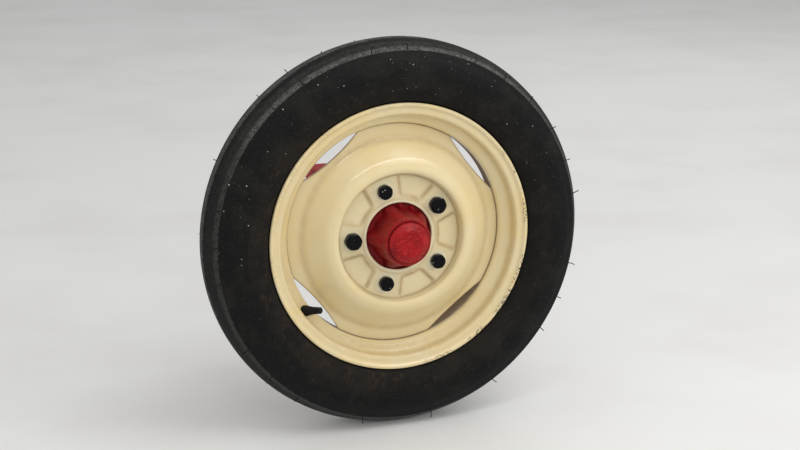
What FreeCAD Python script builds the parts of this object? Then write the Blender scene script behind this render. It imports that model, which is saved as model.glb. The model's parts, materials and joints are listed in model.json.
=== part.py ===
import FreeCAD, Part
import math
import os

V = FreeCAD.Vector

# Tractor front wheel on its stub axle and the outer end of the front axle, in mm.
# +X is forward, +Z is up and +Y points inboard, from the wheel to the middle of the axle.
# The origin is the middle of the two bolt holes in the axle arm, and the wheel turns about Y.
# Wheel pieces are drawn about the wheel's centre, with y = 0 in the rim's middle plane and the
# outer face at negative y. Pieces of the axle are drawn about the kingpin, at the axle's height.

# Places along the axle
MOUNT_TO_KINGPIN = 235.0
KINGPIN_TO_WHEEL = 88.0

# Fits
RUN_FIT = 0.05
SEAT_FIT = 0.02
BOLT_CLEAR = 0.5
FACE_GAP = 0.3
LIP_GAP = 1.0

# Rim, 16 inch drop centre
BEAD_R = 202.8
FLANGE_H = 17.4
RIM_INNER_W = 76.2
LIP_W = 8.0
LIP_DROP = 4.5
RIM_SHEET = 3.5
WELL_DEPTH = 17.0
SEAT_W = 17.0
WELL_W = 26.0

# Tyre, 4.50-16 with three ribs
SECTION_H = 116.9
TYRE_W = 116.0
WIDE_H = 60.0
WIDE_FLAT = 26.0
RIB_HALF = 7.5
GROOVE_W = 8.0
GROOVE_DEPTH = 10.0
RIB_STEP = 4.0
RIB_OUT_Y = 32.0
SHOULDER_DROP = 15.6
SHOULDER_Y = 43.0
NECK_RISE = 2.0

# Disc, pressed from a sheet, with four bowed flats that leave openings at the rim
DISC_SHEET = 5.0
DISC_EDGE_Y = -3.6
BRIM_W = 23.8
BRIM_RISE = 7.4
RING_Y = -31.0
RECESS_MARGIN = 19.0
WALL_RUN = 5.0
WALL_RISE = 13.0
CREST_RUN = 8.0
CREST_RISE = 2.5
SLOPE_RUN = 14.0
SLOPE_DROP = 4.5
CENTRE_HOLE_R = 55.5
FLAT_ANGLE = 38.0
FLAT_DEPTH = 15.3
FLAT_BOW_R = 362.0
FLAT_COUNT = 4
PAD_DEPTH = 3.5
PAD_RING_W = 10.5
PAD_WALL_GAP = 2.0
PAD_OUT_ANGLE = 16.5
PAD_MID_ANGLE = 18.0
PAD_IN_ANGLE = 11.0
PAD_CORNER = 8.0

# Bolts that hold the disc to the hub
BOLT_COUNT = 5
BOLT_CIRCLE_R = 80.0
BOLT_ANGLE = 36.0
BOLT_R = 7.0
BOLT_HEAD_AF = 24.0
BOLT_HEAD_H = 12.0
BOLT_TAIL = 3.0

# Hub
HUB_EDGE = 17.0
HUB_FLANGE_T = 12.0
BARREL_ROOT_R = 45.0
BARREL_TIP_R = 38.4
BARREL_TIP_Y = -75.0
HUB_BACK_R = 41.0
HUB_CAVITY_R = 27.0
WEB_T = 11.0
WEB_BOLT_GAP = 14.0
WEB_HOLE_GAP = 1.5
WEB_FOOT_H = 6.0
WEB_TIP_IN = 9.0
LAND_LENGTH = 16.0
MOUTH_WALL = 4.9
MOUTH_DEPTH = 15.0
FITTING_R = 3.5
FITTING_H = 7.0
FITTING_ANGLES = (86.0, 62.0)
FITTING_GAP = 5.0

# Hub cap
CAP_SKIRT = 11.0
CAP_BAND = 4.0
CAP_BEVEL = 11.9
CAP_BEVEL_H = 9.5
CAP_WALL = 3.0

# Dust ring on the back of the hub
DUST_WALL = 4.0
DUST_W = 9.0
DUST_LIP = 7.0

# Stub axle
OUTER_JOURNAL_R = 12.5
INNER_JOURNAL_R = 17.5
THREAD_STEP = 2.5
THREAD_LENGTH = 10.0
NECK_LENGTH = 14.0

# Kingpin and the fork round it
FIST_R = 29.0
FIST_OVER_ARM = 5.0
PIN_R = 13.0
BUSH_WALL = 3.0
LUG_R = 27.0
LUG_H = 24.0
FORK_GAP = 0.5
FORK_ROOM = 7.0
FORK_WEB = 16.0
FORK_CORNER = 12.0
THRUST_RIM = 12.0
THRUST_T = 6.0
PIN_CAP_RIM = 9.0
PIN_CAP_T = 4.0
PIN_CAP_BOSS_R = 10.0
PIN_CAP_BOSS_H = 3.0
NIPPLE_AF = 8.0
NIPPLE_HEX_H = 4.5
NIPPLE_NECK_R = 2.2
NIPPLE_HEAD_R = 3.2
NIPPLE_HEAD_H = 3.0
NIPPLE_H = 11.0
COTTER_R = 6.0
COTTER_SET = 5.0
COTTER_HEAD_AF = 17.0
COTTER_HEAD_H = 8.0
COTTER_BOSS = 13.0
COTTER_BOSS_EDGE = 6.0
THREAD_OUT = 3.0

# Axle arm
ARM_W = 46.0
ARM_H = 62.0
ARM_EDGE = 8.0
ARM_TAIL = 50.0
POCKET_DEPTH = 11.0
POCKET_H = 34.0
POCKET_CORNER = 15.0
POCKET_START = 22.0
MOUNT_SPACING = 100.0
MOUNT_HOLE_R = 8.5
MOUNT_PAD = 34.0

# Steering arm
LEVER_REACH = 165.0
LEVER_IN = 12.0
LEVER_T = 16.0
LEVER_ELBOW = 32.0
LEVER_ELBOW_R = 14.0
LEVER_ROOT_R = 10.0
LEVER_TIP_R = 11.0
EYE_R = 17.0
EYE_H = 26.0
EYE_HOLE_R = 8.0
ROOT_PLATE_T = 13.0
ROOT_PLATE_H = 66.0
ROOT_PLATE_EDGE = 6.0
ROOT_BOLT_SPACING = 42.0
ROOT_BOLT_R = 6.0
ROOT_BOLT_AF = 19.0
ROOT_BOLT_HEAD_H = 8.0
ROOT_BOLT_DEPTH = 20.0

# Valve
VALVE_ANGLE = 217.0
VALVE_FOOT_IN = 6.8
VALVE_FOOT_Y = -14.0
VALVE_BASE_R = 8.0
VALVE_BASE_L = 12.0
VALVE_NECK_R = 5.6
VALVE_LENGTH = 30.0
VALVE_LEAN = 38.0
VALVE_CAP_R = 4.6
VALVE_CAP_L = 8.0

# Sizes that follow from the ones above
KINGPIN = V(0, -MOUNT_TO_KINGPIN, 0)
WHEEL = V(0, -MOUNT_TO_KINGPIN - KINGPIN_TO_WHEEL, 0)
rim_half = RIM_INNER_W / 2
flange_r = BEAD_R + FLANGE_H
tyre_r = BEAD_R + SECTION_H
edge_r = BEAD_R - WELL_DEPTH - RIM_SHEET - SEAT_FIT
recess_r = BOLT_CIRCLE_R + RECESS_MARGIN
hub_front_y = RING_Y + PAD_DEPTH + DISC_SHEET
flange_back_y = hub_front_y + HUB_FLANGE_T
fork_in_y = -FIST_R - FORK_ROOM
fork_out_y = fork_in_y - FORK_WEB
neck_y = fork_out_y + KINGPIN_TO_WHEEL
hub_back_y = neck_y - NECK_LENGTH
inner_land_y = hub_back_y - LAND_LENGTH
mouth_y = BARREL_TIP_Y + MOUTH_DEPTH
outer_land_y = mouth_y + LAND_LENGTH
mouth_r = BARREL_TIP_R - MOUTH_WALL
dust_lip_r = HUB_BACK_R - DUST_LIP
bush_r = PIN_R + BUSH_WALL
fist_top = ARM_H / 2 + FIST_OVER_ARM
fist_base = -fist_top
lug_low_top = fist_base - THRUST_T - FACE_GAP
lug_low_base = lug_low_top - LUG_H
lug_high_base = fist_top + FORK_GAP
lug_high_top = lug_high_base + LUG_H
cotter_y = PIN_R + COTTER_R - COTTER_SET
arm_bolt_y = (fork_in_y + fork_out_y) / 2
arm_bolt_heights = (-ROOT_BOLT_SPACING / 2, ROOT_BOLT_SPACING / 2)


# Ways of making shapes

def outline(points):
    """A closed face through (radius, y) points, drawn in the half plane above +X."""
    corners = [V(r, y, 0) for r, y in points]
    return Part.Face(Part.makePolygon(corners + corners[:1]))


def turned(points):
    """The solid that a closed outline of (radius, y) points sweeps in a full turn about Y."""
    return outline(points).revolve(V(0, 0, 0), V(0, 1, 0), 360)


def beside(points, sheet):
    """The same path moved sideways by the sheet's thickness, square to each straight run."""
    shifted = []
    for i, (r, y) in enumerate(points):
        runs = []
        for a, b in ((i - 1, i), (i, i + 1)):
            if a >= 0 and b < len(points):
                along = V(points[b][0] - points[a][0], points[b][1] - points[a][1], 0)
                runs.append(along.normalize())
        bisector = (runs[0] + runs[-1]).normalize()
        shift = sheet / bisector.dot(runs[0])
        shifted.append((r - bisector.y * shift, y + bisector.x * shift))
    return shifted


def pressed_sheet(points, sheet):
    """A turned sheet of constant thickness with one face on the points."""
    return turned(list(points) + beside(points, sheet)[::-1])


def haunch(wide, narrow):
    """The middle of the quarter ellipse between a wall's widest point and its narrow end."""
    half_way = math.sin(math.pi / 4)
    r = wide[0] + (narrow[0] - wide[0]) * half_way
    y = narrow[1] + (wide[1] - narrow[1]) * half_way
    return (r, y)


def rod(radius, start, end):
    """A round bar between two points."""
    along = end - start
    return Part.makeCylinder(radius, along.Length, start, along)


def hexagon(flats, height, base, along):
    """A hexagon bar that stands on its base."""
    corner_r = flats / math.sqrt(3)
    corners = []
    for i in range(6):
        t = math.pi / 3 * i
        corners.append(V(corner_r * math.cos(t), corner_r * math.sin(t), 0))
    bar = Part.Face(Part.makePolygon(corners + corners[:1])).extrude(V(0, 0, height))
    bar.Placement = FreeCAD.Placement(base, FreeCAD.Rotation(V(0, 0, 1), along))
    return bar


def rounded_box(low, high, radius, direction):
    """A box whose four edges along one direction are rounded."""
    size = high - low
    box = Part.makeBox(size.x, size.y, size.z, low)
    edges = [e for e in box.Edges if abs(e.tangentAt(e.FirstParameter).dot(direction)) > 0.999]
    return box.makeFillet(radius, edges)


def on_wheel(angle, radius, y):
    """A point at an angle on the wheel, from +X towards +Z."""
    a = math.radians(angle)
    return V(radius * math.cos(a), y, radius * math.sin(a))


def spun(shape, angle):
    """A copy of a shape turned about the wheel's axis, from +X towards +Z."""
    copy = shape.copy()
    copy.rotate(V(0, 0, 0), V(0, -1, 0), angle)
    return copy


def moved(shape, by):
    """A copy of a shape shifted by a vector."""
    copy = shape.copy()
    copy.translate(by)
    return copy


def bolt_angle(i):
    """Angle of one of the wheel bolts on the wheel."""
    return BOLT_ANGLE + 360 / BOLT_COUNT * i


# Rim and valve

def rim_side(side):
    """Tyre side of one half of the rim, from the lip's edge down to the well."""
    return [
        (flange_r - LIP_DROP, side * (rim_half + LIP_W)),
        (flange_r, side * rim_half),
        (BEAD_R, side * rim_half),
        (BEAD_R, side * (rim_half - SEAT_W)),
        (BEAD_R - WELL_DEPTH, side * WELL_W / 2),
    ]


def valve_points():
    """Foot of the valve in the slope of the rim's well, and the way it points, out and inwards."""
    a = math.radians(VALVE_LEAN)
    return V(BEAD_R - VALVE_FOOT_IN, VALVE_FOOT_Y, 0), V(-math.sin(a), -math.cos(a), 0)


def make_valve_stem():
    foot, along = valve_points()
    base = rod(VALVE_BASE_R, foot, foot + along * VALVE_BASE_L)
    return base.fuse(rod(VALVE_NECK_R, foot, foot + along * VALVE_LENGTH))


def make_valve_cap():
    foot, along = valve_points()
    tip = foot + along * VALVE_LENGTH
    return rod(VALVE_CAP_R, tip, tip + along * VALVE_CAP_L)


def make_rim():
    foot, along = valve_points()
    hole = rod(VALVE_BASE_R + SEAT_FIT, foot, foot + along * VALVE_BASE_L)
    rim = pressed_sheet(rim_side(-1) + rim_side(1)[::-1], RIM_SHEET)
    return rim.cut(spun(hole, VALVE_ANGLE))


# Tyre

def tyre_side(s):
    """Outline of half a tyre, from the middle rib over the shoulder and the wall to the bead."""
    half = TYRE_W / 2
    wide_r = BEAD_R + WIDE_H
    shoulder = (tyre_r - SHOULDER_DROP, SHOULDER_Y)
    bead_y = rim_half - FACE_GAP
    neck = (flange_r + NECK_RISE, rim_half + LIP_W / 2)
    points = [
        (tyre_r, RIB_HALF),
        (tyre_r - GROOVE_DEPTH, RIB_HALF + GROOVE_W / 2),
        (tyre_r - RIB_STEP, RIB_HALF + GROOVE_W),
        (tyre_r - RIB_STEP, RIB_OUT_Y),
        shoulder,
        haunch((wide_r, half), shoulder),
        (wide_r + WIDE_FLAT / 2, half),
        (wide_r - WIDE_FLAT / 2, half),
        haunch((wide_r, half), neck),
        neck,
        (neck[0], bead_y),
        (BEAD_R + FACE_GAP, bead_y),
    ]
    return [(r, s * y) for r, y in points]


def make_tyre():
    return turned(tyre_side(-1)[::-1] + tyre_side(1))


# Disc

def disc_front():
    """Front face of the disc, from the centre hole over the bulge to the rim's well."""
    wall_r = recess_r + WALL_RUN
    wall_y = RING_Y - WALL_RISE
    crest_r = wall_r + CREST_RUN
    crest_y = wall_y - CREST_RISE
    return [
        (CENTRE_HOLE_R, RING_Y),
        (recess_r, RING_Y),
        (wall_r, wall_y),
        (crest_r, crest_y),
        (crest_r + SLOPE_RUN, crest_y + SLOPE_DROP),
        (edge_r - BRIM_W, DISC_EDGE_Y - BRIM_RISE),
        (edge_r, DISC_EDGE_Y),
    ]


def make_pad():
    """One recess between two bolts: a piece of a ring with its inner corners cut off."""
    low = CENTRE_HOLE_R + PAD_RING_W
    high = recess_r - PAD_WALL_GAP
    upper = [
        on_wheel(PAD_IN_ANGLE, low, RING_Y),
        on_wheel(PAD_MID_ANGLE, low + PAD_CORNER, RING_Y),
        on_wheel(PAD_OUT_ANGLE, high, RING_Y),
    ]
    lower = [V(c.x, c.y, -c.z) for c in upper]
    outline_wire = Part.Wire([
        Part.makeLine(upper[0], upper[1]),
        Part.makeLine(upper[1], upper[2]),
        Part.Arc(upper[2], V(high, RING_Y, 0), lower[2]).toShape(),
        Part.makeLine(lower[2], lower[1]),
        Part.makeLine(lower[1], lower[0]),
        Part.Arc(lower[0], V(low, RING_Y, 0), upper[0]).toShape(),
    ])
    return Part.Face(outline_wire).extrude(V(0, PAD_DEPTH, 0))


def make_flat():
    """What one bowed flat takes off the disc's edge."""
    centre_x = edge_r - FLAT_DEPTH + FLAT_BOW_R
    return rod(FLAT_BOW_R, V(centre_x, RING_Y, 0), V(centre_x, DISC_EDGE_Y + 2 * DISC_SHEET, 0))


def make_disc():
    disc = pressed_sheet(disc_front(), DISC_SHEET)
    pad = make_pad()
    bump = moved(pad, V(0, DISC_SHEET, 0))
    for i in range(BOLT_COUNT):
        between = (bolt_angle(i) + bolt_angle(i + 1)) / 2
        disc = disc.cut(spun(pad, between)).fuse(spun(bump, between))
    for i in range(BOLT_COUNT):
        front = on_wheel(bolt_angle(i), BOLT_CIRCLE_R, RING_Y)
        disc = disc.cut(rod(BOLT_R + BOLT_CLEAR, front, front + V(0, DISC_SHEET, 0)))
    for i in range(FLAT_COUNT):
        disc = disc.cut(spun(make_flat(), FLAT_ANGLE + 360 / FLAT_COUNT * i))
    return disc


def make_wheel_bolt():
    """A wheel bolt on the +X side of the wheel, its head seated on the disc."""
    seat = V(BOLT_CIRCLE_R, RING_Y, 0)
    head = hexagon(BOLT_HEAD_AF, BOLT_HEAD_H, seat, V(0, -1, 0))
    return head.fuse(rod(BOLT_R, seat, V(BOLT_CIRCLE_R, flange_back_y + BOLT_TAIL, 0)))


# Hub, hub cap and dust ring

def barrel_r(y):
    """Outside radius of the hub's tapered barrel at y."""
    share = (y - BARREL_TIP_Y) / (hub_front_y - BARREL_TIP_Y)
    return BARREL_TIP_R + share * (BARREL_ROOT_R - BARREL_TIP_R)


def make_web():
    """A rib from the barrel to the flange, clear of the bolt head and of the disc's hole."""
    root_r = BOLT_CIRCLE_R - BOLT_HEAD_AF / 2 - WEB_BOLT_GAP
    tip_y = BARREL_TIP_Y + WEB_TIP_IN
    core_r = (HUB_CAVITY_R + BARREL_TIP_R) / 2
    side = outline([
        (core_r, hub_front_y + HUB_FLANGE_T / 2),
        (root_r, hub_front_y + HUB_FLANGE_T / 2),
        (root_r, hub_front_y - WEB_FOOT_H),
        (barrel_r(tip_y), tip_y),
        (core_r, tip_y + WEB_TIP_IN),
    ])
    web = moved(side, V(0, 0, -WEB_T / 2)).extrude(V(0, 0, WEB_T))
    hole = rod(CENTRE_HOLE_R - WEB_HOLE_GAP, V(0, BARREL_TIP_Y, 0), V(0, flange_back_y, 0))
    return web.common(hole)


def make_hub():
    body = turned([
        (OUTER_JOURNAL_R + RUN_FIT, mouth_y),
        (mouth_r, mouth_y),
        (mouth_r, BARREL_TIP_Y),
        (BARREL_TIP_R, BARREL_TIP_Y),
        (BARREL_ROOT_R, hub_front_y),
        (BOLT_CIRCLE_R + HUB_EDGE, hub_front_y),
        (BOLT_CIRCLE_R + HUB_EDGE, flange_back_y),
        (HUB_BACK_R, flange_back_y),
        (HUB_BACK_R, hub_back_y),
        (INNER_JOURNAL_R + RUN_FIT, hub_back_y),
        (INNER_JOURNAL_R + RUN_FIT, inner_land_y),
        (HUB_CAVITY_R, inner_land_y),
        (HUB_CAVITY_R, outer_land_y),
        (OUTER_JOURNAL_R + RUN_FIT, outer_land_y),
    ])
    web = make_web()
    for i in range(BOLT_COUNT):
        front = on_wheel(bolt_angle(i), BOLT_CIRCLE_R, hub_front_y)
        hole = rod(BOLT_R + SEAT_FIT, front, front + V(0, HUB_FLANGE_T, 0))
        body = body.fuse(spun(web, bolt_angle(i))).cut(hole)
    return body


def make_fitting(angle):
    """A small plug on the hub's flange, seen through the disc's hole."""
    foot = on_wheel(angle, BARREL_ROOT_R + FITTING_GAP, hub_front_y)
    return rod(FITTING_R, foot, foot - V(0, FITTING_H, 0))


def make_cap():
    """A turned cap pressed into the barrel's mouth, with a wide bevel round its face."""
    band_y = BARREL_TIP_Y - CAP_BAND
    face_y = band_y - CAP_BEVEL_H
    skirt_y = BARREL_TIP_Y + CAP_SKIRT
    side_r = mouth_r - SEAT_FIT
    return turned([
        (0, face_y),
        (side_r - CAP_BEVEL, face_y),
        (side_r, band_y),
        (side_r, skirt_y),
        (side_r - CAP_WALL, skirt_y),
        (side_r - CAP_WALL, band_y + CAP_WALL / 2),
        (0, band_y + CAP_WALL / 2),
    ])


def make_dust_ring():
    """A ring pressed over the back of the hub, with a lip that reaches in over the stub axle."""
    seat_r = HUB_BACK_R + SEAT_FIT
    outer_r = HUB_BACK_R + DUST_WALL
    return turned([
        (seat_r, hub_back_y - DUST_W / 2),
        (outer_r, hub_back_y - DUST_W / 2),
        (outer_r, hub_back_y + DUST_W / 2),
        (dust_lip_r, hub_back_y + DUST_W / 2),
        (dust_lip_r, hub_back_y),
        (seat_r, hub_back_y),
    ])


# Stub axle, kingpin and what closes the fork

def make_spindle():
    """The turned end of the stub axle, with y from the wheel's middle plane."""
    boss_r = dust_lip_r - LIP_GAP
    thread_r = OUTER_JOURNAL_R - THREAD_STEP
    return turned([
        (0, mouth_y - THREAD_LENGTH),
        (thread_r, mouth_y - THREAD_LENGTH),
        (thread_r, mouth_y),
        (OUTER_JOURNAL_R, mouth_y),
        (OUTER_JOURNAL_R, inner_land_y),
        (INNER_JOURNAL_R, inner_land_y),
        (INNER_JOURNAL_R, hub_back_y + FACE_GAP),
        (boss_r, hub_back_y + FACE_GAP),
        (boss_r, neck_y),
        (INNER_JOURNAL_R, neck_y),
        (INNER_JOURNAL_R, neck_y + FORK_WEB / 2),
        (0, neck_y + FORK_WEB / 2),
    ])


def make_stub_axle():
    fork_h = lug_high_top - lug_low_base
    body = Part.makeBox(2 * LUG_R, FORK_WEB, fork_h, V(-LUG_R, fork_out_y, lug_low_base))
    for base in (lug_low_base, lug_high_base):
        slab = Part.makeBox(2 * LUG_R, -fork_out_y, LUG_H, V(-LUG_R, fork_out_y, base))
        body = body.fuse([slab, Part.makeCylinder(LUG_R, LUG_H, V(0, 0, base))])
    outer_corners = []
    for e in body.removeSplitter().Edges:
        level = abs(e.tangentAt(e.FirstParameter).x) > 0.999
        if level and abs(e.CenterOfMass.y - fork_out_y) < FACE_GAP:
            outer_corners.append(e)
    body = body.removeSplitter().makeFillet(FORK_CORNER, outer_corners)
    body = body.fuse(moved(make_spindle(), V(0, -KINGPIN_TO_WHEEL, 0)))
    body = body.cut(rod(bush_r + SEAT_FIT, V(0, 0, lug_low_base), V(0, 0, lug_high_top)))
    for z in arm_bolt_heights:
        mouth = V(-LUG_R, arm_bolt_y, z)
        body = body.cut(rod(ROOT_BOLT_R + SEAT_FIT, mouth, mouth + V(ROOT_BOLT_DEPTH, 0, 0)))
    return body


def make_bush(base):
    """Bush in one lug of the fork, in which the kingpin turns."""
    low = V(0, 0, base)
    high = V(0, 0, base + LUG_H)
    return rod(bush_r, low, high).cut(rod(PIN_R + RUN_FIT, low, high))


def make_pin_cap(z, s):
    """Cap on the end of a bush: a plate with a raised boss for the grease nipple."""
    foot = V(0, 0, z)
    plate_top = V(0, 0, z + s * PIN_CAP_T)
    boss_top = V(0, 0, z + s * (PIN_CAP_T + PIN_CAP_BOSS_H))
    return rod(PIN_R + PIN_CAP_RIM, foot, plate_top).fuse(rod(PIN_CAP_BOSS_R, foot, boss_top))


def make_nipple(z, s):
    """Grease nipple: hexagon, neck and head."""
    out = V(0, 0, s)
    base = V(0, 0, z + s * (PIN_CAP_T + PIN_CAP_BOSS_H))
    tip = base + out * NIPPLE_H
    head = rod(NIPPLE_HEAD_R, tip - out * NIPPLE_HEAD_H, tip)
    return hexagon(NIPPLE_AF, NIPPLE_HEX_H, base, out).fuse([rod(NIPPLE_NECK_R, base, tip), head])


def cotter_hole(radius, reach):
    """The cross hole for the bolt that locks the kingpin."""
    return rod(radius, V(-reach, cotter_y, 0), V(reach, cotter_y, 0))


def make_kingpin():
    pin = rod(PIN_R, V(0, 0, lug_low_base + FACE_GAP), V(0, 0, lug_high_top - FACE_GAP))
    return pin.cut(cotter_hole(COTTER_R + SEAT_FIT, 2 * PIN_R))


def make_cotter_bolt():
    """Cross bolt that locks the kingpin in the arm's eye, with its head forward."""
    front = V(FIST_R, cotter_y, 0)
    tip = V(-FIST_R - COTTER_HEAD_H - THREAD_OUT, cotter_y, 0)
    return hexagon(COTTER_HEAD_AF, COTTER_HEAD_H, front, V(1, 0, 0)).fuse(rod(COTTER_R, tip, front))


def make_cotter_nut():
    nut = hexagon(COTTER_HEAD_AF, COTTER_HEAD_H, V(-FIST_R, cotter_y, 0), V(-1, 0, 0))
    return nut.cut(cotter_hole(COTTER_R + SEAT_FIT, 2 * FIST_R))


def make_thrust_washer():
    top = V(0, 0, fist_base)
    bottom = top - V(0, 0, THRUST_T)
    return rod(PIN_R + THRUST_RIM, bottom, top).cut(rod(PIN_R + FACE_GAP, bottom, top))


# Axle arm

def make_axle_arm():
    end_y = MOUNT_TO_KINGPIN + MOUNT_SPACING / 2 + ARM_TAIL
    low = V(-ARM_W / 2, 0, -ARM_H / 2)
    arm = rounded_box(low, V(ARM_W / 2, end_y, ARM_H / 2), ARM_EDGE, V(0, 1, 0))
    eye = rod(FIST_R, V(0, 0, fist_base), V(0, 0, fist_top))
    boss_low = V(-FIST_R, cotter_y - COTTER_BOSS, -COTTER_BOSS)
    boss_high = V(FIST_R, cotter_y + COTTER_BOSS, COTTER_BOSS)
    arm = arm.fuse([eye, rounded_box(boss_low, boss_high, COTTER_BOSS_EDGE, V(1, 0, 0))])
    pocket_end = MOUNT_TO_KINGPIN - MOUNT_SPACING / 2 - MOUNT_PAD
    pocket_low = V(ARM_W / 2 - POCKET_DEPTH, FIST_R + POCKET_START, -POCKET_H / 2)
    pocket_high = V(ARM_W / 2 + POCKET_DEPTH, pocket_end, POCKET_H / 2)
    pocket = rounded_box(pocket_low, pocket_high, POCKET_CORNER, V(1, 0, 0))
    arm = arm.cut([pocket, pocket.mirror(V(0, 0, 0), V(1, 0, 0))])
    arm = arm.cut(rod(PIN_R + SEAT_FIT, V(0, 0, fist_base), V(0, 0, fist_top)))
    arm = arm.cut(cotter_hole(COTTER_R + SEAT_FIT, FIST_R))
    for s in (-1, 1):
        y = MOUNT_TO_KINGPIN + s * MOUNT_SPACING / 2
        arm = arm.cut(rod(MOUNT_HOLE_R, V(-ARM_W / 2, y, 0), V(ARM_W / 2, y, 0)))
    return arm


# Steering arm

def strap(a, ra, b, rb):
    """A flat link with straight sides between two round ends, centred on the axle's height."""
    line = b - a
    base = math.atan2(line.y, line.x)
    lean = math.acos((ra - rb) / line.Length)
    z = -LEVER_T / 2
    corners = []
    for centre, radius, side in ((a, ra, 1), (b, rb, 1), (b, rb, -1), (a, ra, -1)):
        t = base + side * lean
        corners.append(V(centre.x + radius * math.cos(t), centre.y + radius * math.sin(t), z))
    body = Part.Face(Part.makePolygon(corners + corners[:1])).extrude(V(0, 0, LEVER_T))
    ends = [Part.makeCylinder(r, LEVER_T, V(c.x, c.y, z)) for c, r in ((a, ra), (b, rb))]
    return body.fuse(ends)


def make_steering_arm():
    plate_x = -LUG_R - ROOT_PLATE_T
    plate_low = V(plate_x, fork_out_y, -ROOT_PLATE_H / 2)
    plate_high = V(-LUG_R, fork_in_y, ROOT_PLATE_H / 2)
    plate = rounded_box(plate_low, plate_high, ROOT_PLATE_EDGE, V(1, 0, 0))
    root = V(plate_x, arm_bolt_y, 0)
    elbow = root + V(-LEVER_ELBOW, FORK_WEB / 2, 0)
    eye = V(-LEVER_REACH, LEVER_IN, 0)
    lever = strap(root, LEVER_ROOT_R, elbow, LEVER_ELBOW_R)
    lever = lever.fuse(strap(elbow, LEVER_ELBOW_R, eye, LEVER_TIP_R))
    up = V(0, 0, EYE_H / 2)
    arm = plate.fuse([lever, rod(EYE_R, eye - up, eye + up)]).cut(rod(EYE_HOLE_R, eye - up, eye + up))
    for z in arm_bolt_heights:
        bolt_hole = rod(ROOT_BOLT_R + BOLT_CLEAR, V(plate_x, arm_bolt_y, z), V(-LUG_R, arm_bolt_y, z))
        arm = arm.cut(bolt_hole)
    return arm


def make_arm_bolt(z):
    seat = V(-LUG_R - ROOT_PLATE_T, arm_bolt_y, z)
    tip = V(-LUG_R + ROOT_BOLT_DEPTH - LIP_GAP, arm_bolt_y, z)
    return hexagon(ROOT_BOLT_AF, ROOT_BOLT_HEAD_H, seat, V(-1, 0, 0)).fuse(rod(ROOT_BOLT_R, seat, tip))


def save(name, shape, point):
    """Write one piece, moved from where it was drawn to its place."""
    final = moved(shape, point)
    final.exportStep("parts/" + name + ".step")
    print(name, final.isValid(), len(final.Solids), round(final.Volume / 1000, 1))


os.makedirs("parts", exist_ok=True)

save("tyre", make_tyre(), WHEEL)
save("rim", make_rim(), WHEEL)
save("disc", make_disc(), WHEEL)
save("valve_stem", spun(make_valve_stem(), VALVE_ANGLE), WHEEL)
save("valve_cap", spun(make_valve_cap(), VALVE_ANGLE), WHEEL)
save("hub", make_hub(), WHEEL)
save("hub_cap", make_cap(), WHEEL)
save("dust_ring", make_dust_ring(), WHEEL)
for i in range(BOLT_COUNT):
    save("wheel_bolt_" + str(i + 1), spun(make_wheel_bolt(), bolt_angle(i)), WHEEL)
for i, angle in enumerate(FITTING_ANGLES):
    save("hub_fitting_" + str(i + 1), make_fitting(angle), WHEEL)

save("stub_axle", make_stub_axle(), KINGPIN)
save("upper_bush", make_bush(lug_high_base), KINGPIN)
save("lower_bush", make_bush(lug_low_base), KINGPIN)
save("upper_pin_cap", make_pin_cap(lug_high_top, 1), KINGPIN)
save("lower_pin_cap", make_pin_cap(lug_low_base, -1), KINGPIN)
save("upper_nipple", make_nipple(lug_high_top, 1), KINGPIN)
save("lower_nipple", make_nipple(lug_low_base, -1), KINGPIN)
save("steering_arm", make_steering_arm(), KINGPIN)
for i, z in enumerate(arm_bolt_heights):
    save("arm_bolt_" + str(i + 1), make_arm_bolt(z), KINGPIN)

save("axle_arm", make_axle_arm(), KINGPIN)
save("kingpin", make_kingpin(), KINGPIN)
save("cotter_bolt", make_cotter_bolt(), KINGPIN)
save("cotter_nut", make_cotter_nut(), KINGPIN)
save("thrust_washer", make_thrust_washer(), KINGPIN)
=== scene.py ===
import json
import math
from types import SimpleNamespace

import bmesh
import bpy
import numpy as np
from bpy.props import FloatProperty, FloatVectorProperty, IntProperty, PointerProperty
from mathutils import Matrix, Vector


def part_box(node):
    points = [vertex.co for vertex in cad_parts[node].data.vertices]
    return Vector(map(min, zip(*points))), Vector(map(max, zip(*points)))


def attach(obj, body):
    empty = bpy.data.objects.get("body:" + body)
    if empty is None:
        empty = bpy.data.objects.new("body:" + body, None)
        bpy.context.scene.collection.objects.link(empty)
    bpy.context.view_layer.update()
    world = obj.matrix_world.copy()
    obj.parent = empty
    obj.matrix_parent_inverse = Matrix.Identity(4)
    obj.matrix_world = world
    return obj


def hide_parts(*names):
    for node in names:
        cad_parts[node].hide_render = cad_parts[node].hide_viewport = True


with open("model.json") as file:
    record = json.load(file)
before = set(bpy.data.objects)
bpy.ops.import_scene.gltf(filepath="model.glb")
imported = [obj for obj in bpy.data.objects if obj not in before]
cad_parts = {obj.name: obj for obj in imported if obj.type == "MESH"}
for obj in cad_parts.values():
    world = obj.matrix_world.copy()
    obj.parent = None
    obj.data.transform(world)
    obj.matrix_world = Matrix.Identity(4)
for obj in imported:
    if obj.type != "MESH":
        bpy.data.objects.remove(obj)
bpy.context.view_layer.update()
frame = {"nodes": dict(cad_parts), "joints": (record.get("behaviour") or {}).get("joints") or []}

bl_info = {
    "name": "Tractor front wheel",
    "version": (1, 0, 0),
    "blender": (4, 5, 0),
    "location": "View3D > Sidebar > Tractor wheel",
    "description": "Dresses a farm tractor's front wheel, hub and axle end",
    "category": "Add Mesh",
}

# Wheel pieces are drawn in mm about the wheel's centre: the wheel turns about Y, its outer face is at
# negative y, and angles run from +X (forward) towards +Z (up). The frame gives that centre.
WHEEL = 1000 * np.array(next(j["pos_m"] for j in frame["joints"] if j["name"] == "wheel_spin"))
TYRE_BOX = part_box("tyre")
RIM_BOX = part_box("rim")
DISC_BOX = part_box("disc")
CAP_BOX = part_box("hub_cap")

# Steps round a turned piece, and the longest step along its outline in mm
AROUND = 360
PITCH = 3.0


# Colours and sizes that a user would change

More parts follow.
